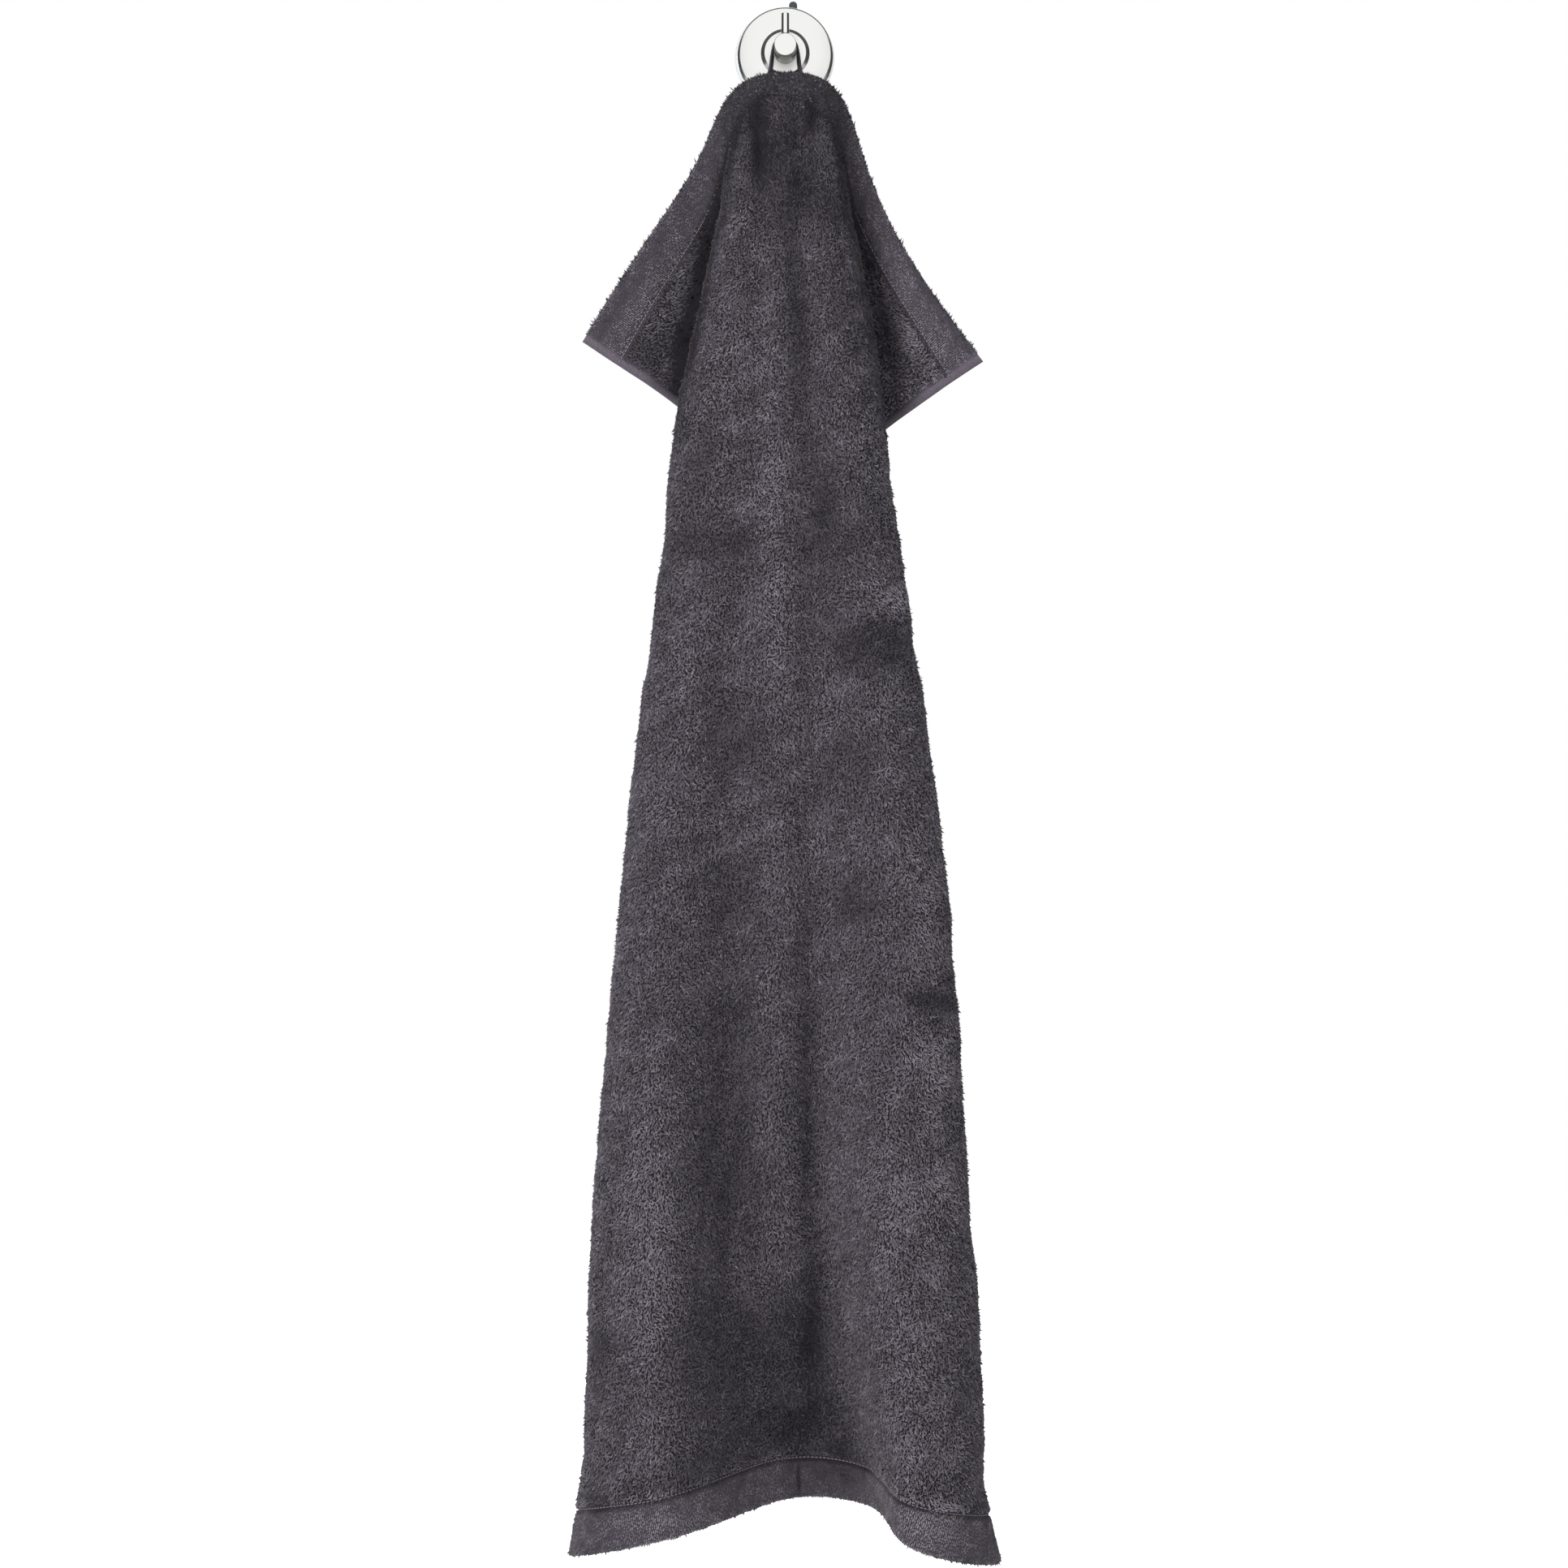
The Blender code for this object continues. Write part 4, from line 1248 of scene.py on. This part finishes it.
@dataclass
class HangingTape:
    """The loop: one narrow tape over the post, each end twisted flat and sewn behind the hem."""

    cloth: FoldedCloth
    width: float = 8.0
    thick: float = 1.4
    # The solid's own sizes, whose middle line the tape follows.
    solid_thick: float = 1.5
    solid_hem_thick: float = 4.2
    gap: float = 0.3
    post_radius: float = 7.85
    y: float = -28.0
    strap_x: float = 10.3
    strap_z: float = -15.0
    sew_x: float = 8.0
    sew_down: tuple = (9.0, 15.0, 21.0)
    sew_gap: float = 0.95
    corner_steps: int = 3
    post_steps: int = 20
    strap_steps: int = 40
    # The straps turn a little where they leave the post, and the rest of the way below here.
    first_twist: float = 12.0
    twist_at: float = 14.0

    def sewn_point(self, side: float, down: float) -> tuple[Points, Points]:
        """A point behind the hem at one sewn end, and the cloth's way across there."""
        middle = self.cloth.surface((down, down + 1.0))
        offsets = middle[0, :, 0] - side * self.sew_x
        right = int(np.argmax(offsets > 0.0))
        share = offsets[right] / (offsets[right] - offsets[right - 1])
        point, below = middle[:, right] * (1.0 - share) + middle[:, right - 1] * share
        across = unit(middle[0, right] - middle[0, right - 1])
        normal = unit(np.cross(across, below - point))
        clear = self.solid_hem_thick / 2 + self.sew_gap + self.solid_thick / 2
        return point + normal * math.copysign(clear, normal[1]), across

    def strap(self, side: float) -> list[tuple[Points, Points]]:
        """One side of the loop, as points with the way of the tape's width."""
        radius = self.post_radius + self.gap + self.solid_thick / 2
        reach = math.hypot(self.strap_x, self.strap_z)
        leave = math.acos(radius / reach) + math.atan2(self.strap_z, self.strap_x)
        outward = np.array([0.0, 1.0, 0.0])
        stations = []
        for turn in np.linspace(math.pi / 2, leave, self.post_steps + 1):
            place = (side * radius * math.cos(turn), self.y, radius * math.sin(turn))
            stations.append((np.array(place), outward))
        sewn = [self.sewn_point(side, down) for down in self.sew_down]
        across = sewn[0][1]
        hang = np.array([side * self.strap_x, self.y, self.strap_z])
        leaves = stations[-1][0]
        keys = np.array([leaves, (leaves + hang) / 2, hang, *(place for place, _ in sewn)])
        chords = np.linalg.norm(np.diff(keys, axis=0), axis=1)
        knots = np.concatenate([[0.0], np.cumsum(chords)])
        for at in np.linspace(0.0, knots[-1], self.strap_steps + 1)[1:]:
            first = self.first_twist * smooth_step(-4.0, 8.0, at)
            rest = (90.0 - self.first_twist) * smooth_step(self.twist_at, knots[3], at)
            turn = math.radians(float(first + rest))
            width = outward * math.cos(turn) - side * across * math.sin(turn)
            stations.append((curve_through(knots, keys, [at])[0], width))
        return stations

    def section(self) -> list[tuple[float, float]]:
        """The tape's rounded section, across its width and thickness in millimetres."""
        radius = self.thick / 2
        flat = self.width / 2 - radius
        steps = 2 * self.corner_steps
        right = arc((flat, 0.0), radius, -90.0, 90.0, steps)
        left = arc((-flat, 0.0), radius, 90.0, 270.0, steps)
        return [*right, (0.0, radius), *left, (0.0, -radius)]

    def build(self, finish: bpy.types.Material) -> bpy.types.Object:
        """Builds the tape, which stands for the loop's solid."""
        stations = [*reversed(self.strap(-1.0)), *self.strap(1.0)[1:]]
        places = np.array([place for place, _ in stations])
        section = self.section()
        rings = []
        for (place, outward), way in zip(stations, unit(np.gradient(places, axis=0))):
            width = unit(way * np.dot(outward, way) - outward)
            normal = np.cross(way, width)
            rings.append(np.array([place + width * a + normal * b for a, b in section]))
        return add_piece(skinned("loop_tape", rings, 60.0), finish, "hanging_loop")


@dataclass
class SteelHook:
    """The round hook: clear disc, release tab, pressed cover, post and pin."""

    disc_radius: float = 35.5
    disc_thick: float = 2.2
    disc_shift: float = -0.5
    cover_radius: float = 34.0
    cover_wall: float = 1.4
    cover_back: float = 2.5
    cover_rim: float = 12.5
    rim_round: float = 3.0
    rim_turn: float = 70.0
    cover_crown: float = 19.4
    crown_bow: float = 0.1
    gap: float = 0.3
    boss_root: float = 17.3
    boss_radius: float = 14.7
    boss_front: float = 22.0
    boss_bow: float = 0.03
    post_radius: float = 7.85
    post_root: float = 22.3
    post_groove: float = 0.5
    post_front: float = 51.0
    post_edge: float = 0.6
    pin_radius: float = 2.8
    pin_foot: float = 8.15
    pin_top: float = 22.6
    pin_y: float = -46.8
    edge: float = 0.35
    tab_x: float = 5.6
    tab_width: float = 5.8
    tab_thick: float = 1.5
    tab_foot: float = 18.0
    tab_tip: float = 40.0

    def cover(self, finish: bpy.types.Material) -> bpy.types.Object:
        """The pressed cover: deep side wall, rounded rim, shallow crown and bevelled boss."""
        back = self.cover_back + self.tab_thick + self.gap
        inside = self.cover_radius - self.cover_wall
        profile = [(0.0, back), (inside, back), (inside, self.cover_back)]
        profile += [(self.cover_radius - 0.3, self.cover_back)]
        profile += [(self.cover_radius, self.cover_back + 0.3)]
        centre = (self.cover_radius - self.rim_round, self.cover_rim)
        profile += arc(centre, self.rim_round, 0.0, self.rim_turn, 16)
        for share in np.arange(1, 17) / 16:
            if share == 1 / 16:
                rim_end, start = profile[-1]
            bow = self.crown_bow * math.sin(share * math.pi)
            radius = rim_end + (self.boss_root - rim_end) * share
            profile.append((radius, start + (self.cover_crown - start) * (share + bow)))
        rise = self.boss_front - self.cover_crown
        run = self.boss_root - self.boss_radius
        for share in np.arange(1, 9) / 8:
            bow = self.boss_bow * math.sin(share * math.pi)
            radius = self.boss_root - run * (share - bow)
            profile.append((radius, self.cover_crown + rise * (share + bow)))
        profile.append((0.0, self.boss_front))
        return add_piece(turned("steel_cover", profile, 192), finish, "flange_cover")

    def post(self, side: bpy.types.Material, end: bpy.types.Material) -> bpy.types.Object:
        """The bar, with a fine groove at its root, an eased front edge and a brushed end."""
        radius, root = self.post_radius, self.post_root
        groove = radius - self.post_groove
        profile = [(0.0, root), (groove, root), (groove, root + 0.5), (radius, root + 0.8)]
        centre = (radius - self.post_edge, self.post_front - self.post_edge)
        profile += arc(centre, self.post_edge, 0.0, 90.0, 6)
        profile.append((0.0, self.post_front))
        piece = add_piece(turned("steel_post", profile, 128), side, "hook_post")
        piece.data.materials.append(end)
        for face in piece.data.polygons:
            face.material_index = int(face.center.y < (0.1 - self.post_front) * MM)
        return piece

    def pin(self, finish: bpy.types.Material) -> bpy.types.Object:
        """The upright pin, turned like the post and stood on it."""
        radius, high = self.pin_radius, self.pin_top - self.pin_foot
        profile = [(0.0, 0.0), (radius - self.edge, 0.0), (radius, self.edge)]
        profile += arc((radius - self.edge, high - self.edge), self.edge, 0.0, 90.0, 5)
        profile.append((0.0, high))
        mesh = turned("steel_pin", profile, 64)
        stand = Matrix.Rotation(-math.pi / 2, 4, "X")
        mesh.transform(Matrix.Translation((0.0, self.pin_y * MM, self.pin_foot * MM)) @ stand)
        return add_piece(mesh, finish, "post_pin")

    def disc(self, finish: bpy.types.Material) -> bpy.types.Object:
        """The clear disc that holds to the wall, thinner towards its soft rim."""
        radius = self.disc_radius
        profile = [(0.0, 0.0), (radius - 0.3, 0.0), (radius, 0.35), (radius, 0.8)]
        profile += [(radius - 0.5, 1.3), (radius - 2.2, self.disc_thick), (0.0, self.disc_thick)]
        mesh = turned("clear_disc", profile, 160)
        mesh.transform(Matrix.Translation((self.disc_shift * MM, 0.0, 0.0)))
        return add_piece(mesh, finish, "suction_disc")

    def tab(self, finish: bpy.types.Material) -> bpy.types.Object:
        """The release tab, a round-tipped tongue with eased edges."""
        half = self.tab_width / 2
        outline = [(self.tab_x - half, self.tab_foot), (self.tab_x + half, self.tab_foot)]
        outline = np.array(outline + arc((self.tab_x, self.tab_tip - half), half, 0.0, 180.0, 28))
        way = outline - (self.tab_x, (self.tab_foot + self.tab_tip) / 2)
        inward = np.copysign(1.0, way)
        inward[:, 0] *= np.minimum(1.0, np.abs(way[:, 0]) / half)
        rings = []
        for inset, out in ((self.edge, 0.0), (0.0, self.edge),
                           (0.0, self.tab_thick - self.edge), (self.edge, self.tab_thick)):
            x, z = (outline - inset * inward).T
            rings.append(np.column_stack([x, np.full(len(x), -(self.cover_back + out)), z]))
        return add_piece(skinned("black_tab", rings, 50.0), finish, "release_tab")


@dataclass(frozen=True)
class Softbox:
    """One soft studio light, which doesn't show in what is shiny. Its sizes are metres."""

    name: str
    place: Place
    width: float
    height: float
    power: float

    def build(self, aim: Place) -> None:
        """Adds the light, turned towards a point."""
        data = bpy.data.lights.new(self.name, "AREA")
        data.shape = "RECTANGLE"
        data.size = self.width
        data.size_y = self.height
        data.energy = self.power
        made = link(self.name, data)
        made.location = self.place
        made.rotation_euler = (Vector(aim) - Vector(self.place)).to_track_quat("-Z", "Y").to_euler()
        made.visible_glossy = False


@dataclass
class Studio:
    """Pale floor, soft lights, white surround and the camera, with sizes in metres."""

    floor_z: float = -1.25
    floor_size: float = 7.0
    fill_light: float = 0.22
    bright: float = 1.2
    dark: float = 0.06
    mirrored_way: Place = (0.0, -0.98, 0.19)
    camera_place: Place = (-0.0009, -2.61, -0.5194)
    lens: float = 83.7
    sensor: float = 36.0
    softboxes: tuple = (
        Softbox("key_softbox", (-1.7, -2.7, 0.6), 1.1, 1.1, 138.0),
        Softbox("side_softbox", (2.3, -2.1, 0.2), 0.9, 1.6, 46.0),
    )
    aim: Place = (0.0, -0.05, -0.5)

    def floor(self, finish: bpy.types.Material) -> None:
        """The plain pale floor, well below the towel."""
        half = self.floor_size / 2
        mesh = bpy.data.meshes.new("studio_floor")
        corners = ((-half, -half), (half, -half), (half, half), (-half, half))
        mesh.from_pydata([(x, y, self.floor_z) for x, y in corners], [], [(0, 1, 2, 3)])
        mesh.materials.append(finish)
        link("studio_floor", mesh)

    def surround(self) -> None:
        """A white surround to look at, which lights the cloth much less than it shows.

        In metal it shows white panels ahead, above the hook, behind it and below it, with dark
        gaps between them and at both sides.
        """
        world = bpy.data.worlds.new("white studio")
        bpy.context.scene.world = world
        world.use_nodes = True
        tree = world.node_tree
        rays = add_node(tree, "LightPath").outputs
        around = add_node(tree, "TexCoord").outputs["Generated"]
        way = add_node(tree, "SeparateXYZ", links={0: around}).outputs
        level = add_node(
            tree, "VectorMath", {"operation": "DOT_PRODUCT", 1: self.mirrored_way}, {0: around}
        )
        ahead = level.outputs["Value"]
        # Each panel fades in from the first to the second value, along one way or two.
        panels = (
            ((ahead, 0.6, 0.72),),
            ((way["Z"], 0.4, 0.6), (way["Y"], -0.1, -0.35)),
            ((way["Z"], 0.15, 0.4), (way["Y"], 0.4, 0.7)),
            ((way["Z"], -0.5, -0.75), (way["Y"], 0.4, 0.1)),
        )
        share = None
        for edges in panels:
            panel = None
            for value, start, end in edges:
                limits = {"From Min": start, "From Max": end, "interpolation_type": "SMOOTHSTEP"}
                edge = add_node(tree, "MapRange", limits, {"Value": value}).outputs[0]
                if panel:
                    both = {0: panel, 1: edge}
                    edge = add_node(tree, "Math", {"operation": "MULTIPLY"}, both).outputs[0]
                panel = edge
            if share:
                both = {0: share, 1: panel}
                panel = add_node(tree, "Math", {"operation": "MAXIMUM"}, both).outputs[0]
            share = panel
        mirrored = add_node(
            tree, "MapRange", {"To Min": self.dark, "To Max": self.bright}, {"Value": share}
        )
        lit = add_node(
            tree, "Mix", {"data_type": "FLOAT", 2: self.fill_light},
            {"Factor": rays["Is Glossy Ray"], 3: mirrored.outputs[0]},
        )
        seen = add_node(
            tree, "Math", {"operation": "MAXIMUM"},
            {0: rays["Is Camera Ray"], 1: rays["Is Transmission Ray"]},
        )
        power = add_node(
            tree, "Mix", {"data_type": "FLOAT", 3: 1.0},
            {"Factor": seen.outputs[0], 2: lit.outputs[0]},
        )
        shade = tree.nodes["Background"]
        shade.inputs["Color"].default_value = linear("ffffff")
        tree.links.new(power.outputs[0], shade.inputs["Strength"])

    def camera(self) -> None:
        """Adds the camera, level and square to the wall, below the hook's height."""
        data = bpy.data.cameras.new("camera")
        data.lens = self.lens
        data.sensor_width = self.sensor
        made = link("camera", data)
        made.location = self.camera_place
        made.rotation_euler = (math.pi / 2, 0.0, 0.0)
        bpy.context.scene.camera = made

    def build(self) -> None:
        """Builds everything round the object."""
        self.camera()
        self.floor(StudioPaper().build())
        for softbox in self.softboxes:
            softbox.build(self.aim)
        self.surround()
        bpy.context.scene.view_settings.view_transform = "Standard"


def report(*pieces: bpy.types.Object) -> None:
    """Logs each piece with its number of faces."""
    for piece in pieces:
        LOG.info("%s: %d faces", piece.name, len(piece.data.polygons))


def main() -> None:
    logging.basicConfig(level=logging.INFO, format="%(message)s")
    Studio().build()
    cloth = FoldedCloth()
    sheet = TowelSheet(cloth)
    ground = sheet.build(WovenGround().build())
    report(ground)
    pile = TerryPile(cloth).build(TerryLoops().build())
    report(*pile)
    stitches = HemStitches(cloth).build(SewingThread().build())
    report(stitches)
    report(HangingTape(cloth).build(TwillTape().build()))
    hook = SteelHook()
    brushed = BrushedSteel().build()
    polished = BrushedSteel("stainless steel, polished", "e2e2e0", 0.1, 0.5, 0.03).build()
    # A darker copy of the steel for the post's side, as painted shade on its underside; its higher
    # roughness is the turned finish.
    shaded_turned_bar = BrushedSteel("stainless steel, turned bar", "c6c6c4", 0.46, 0.35, 0.12).build()
    report(hook.cover(brushed))
    report(hook.post(shaded_turned_bar, brushed))
    report(hook.pin(polished))
    report(hook.disc(ClearVinyl().build()))
    report(hook.tab(MouldedRubber().build()))


if __name__ == "__main__":
    main()
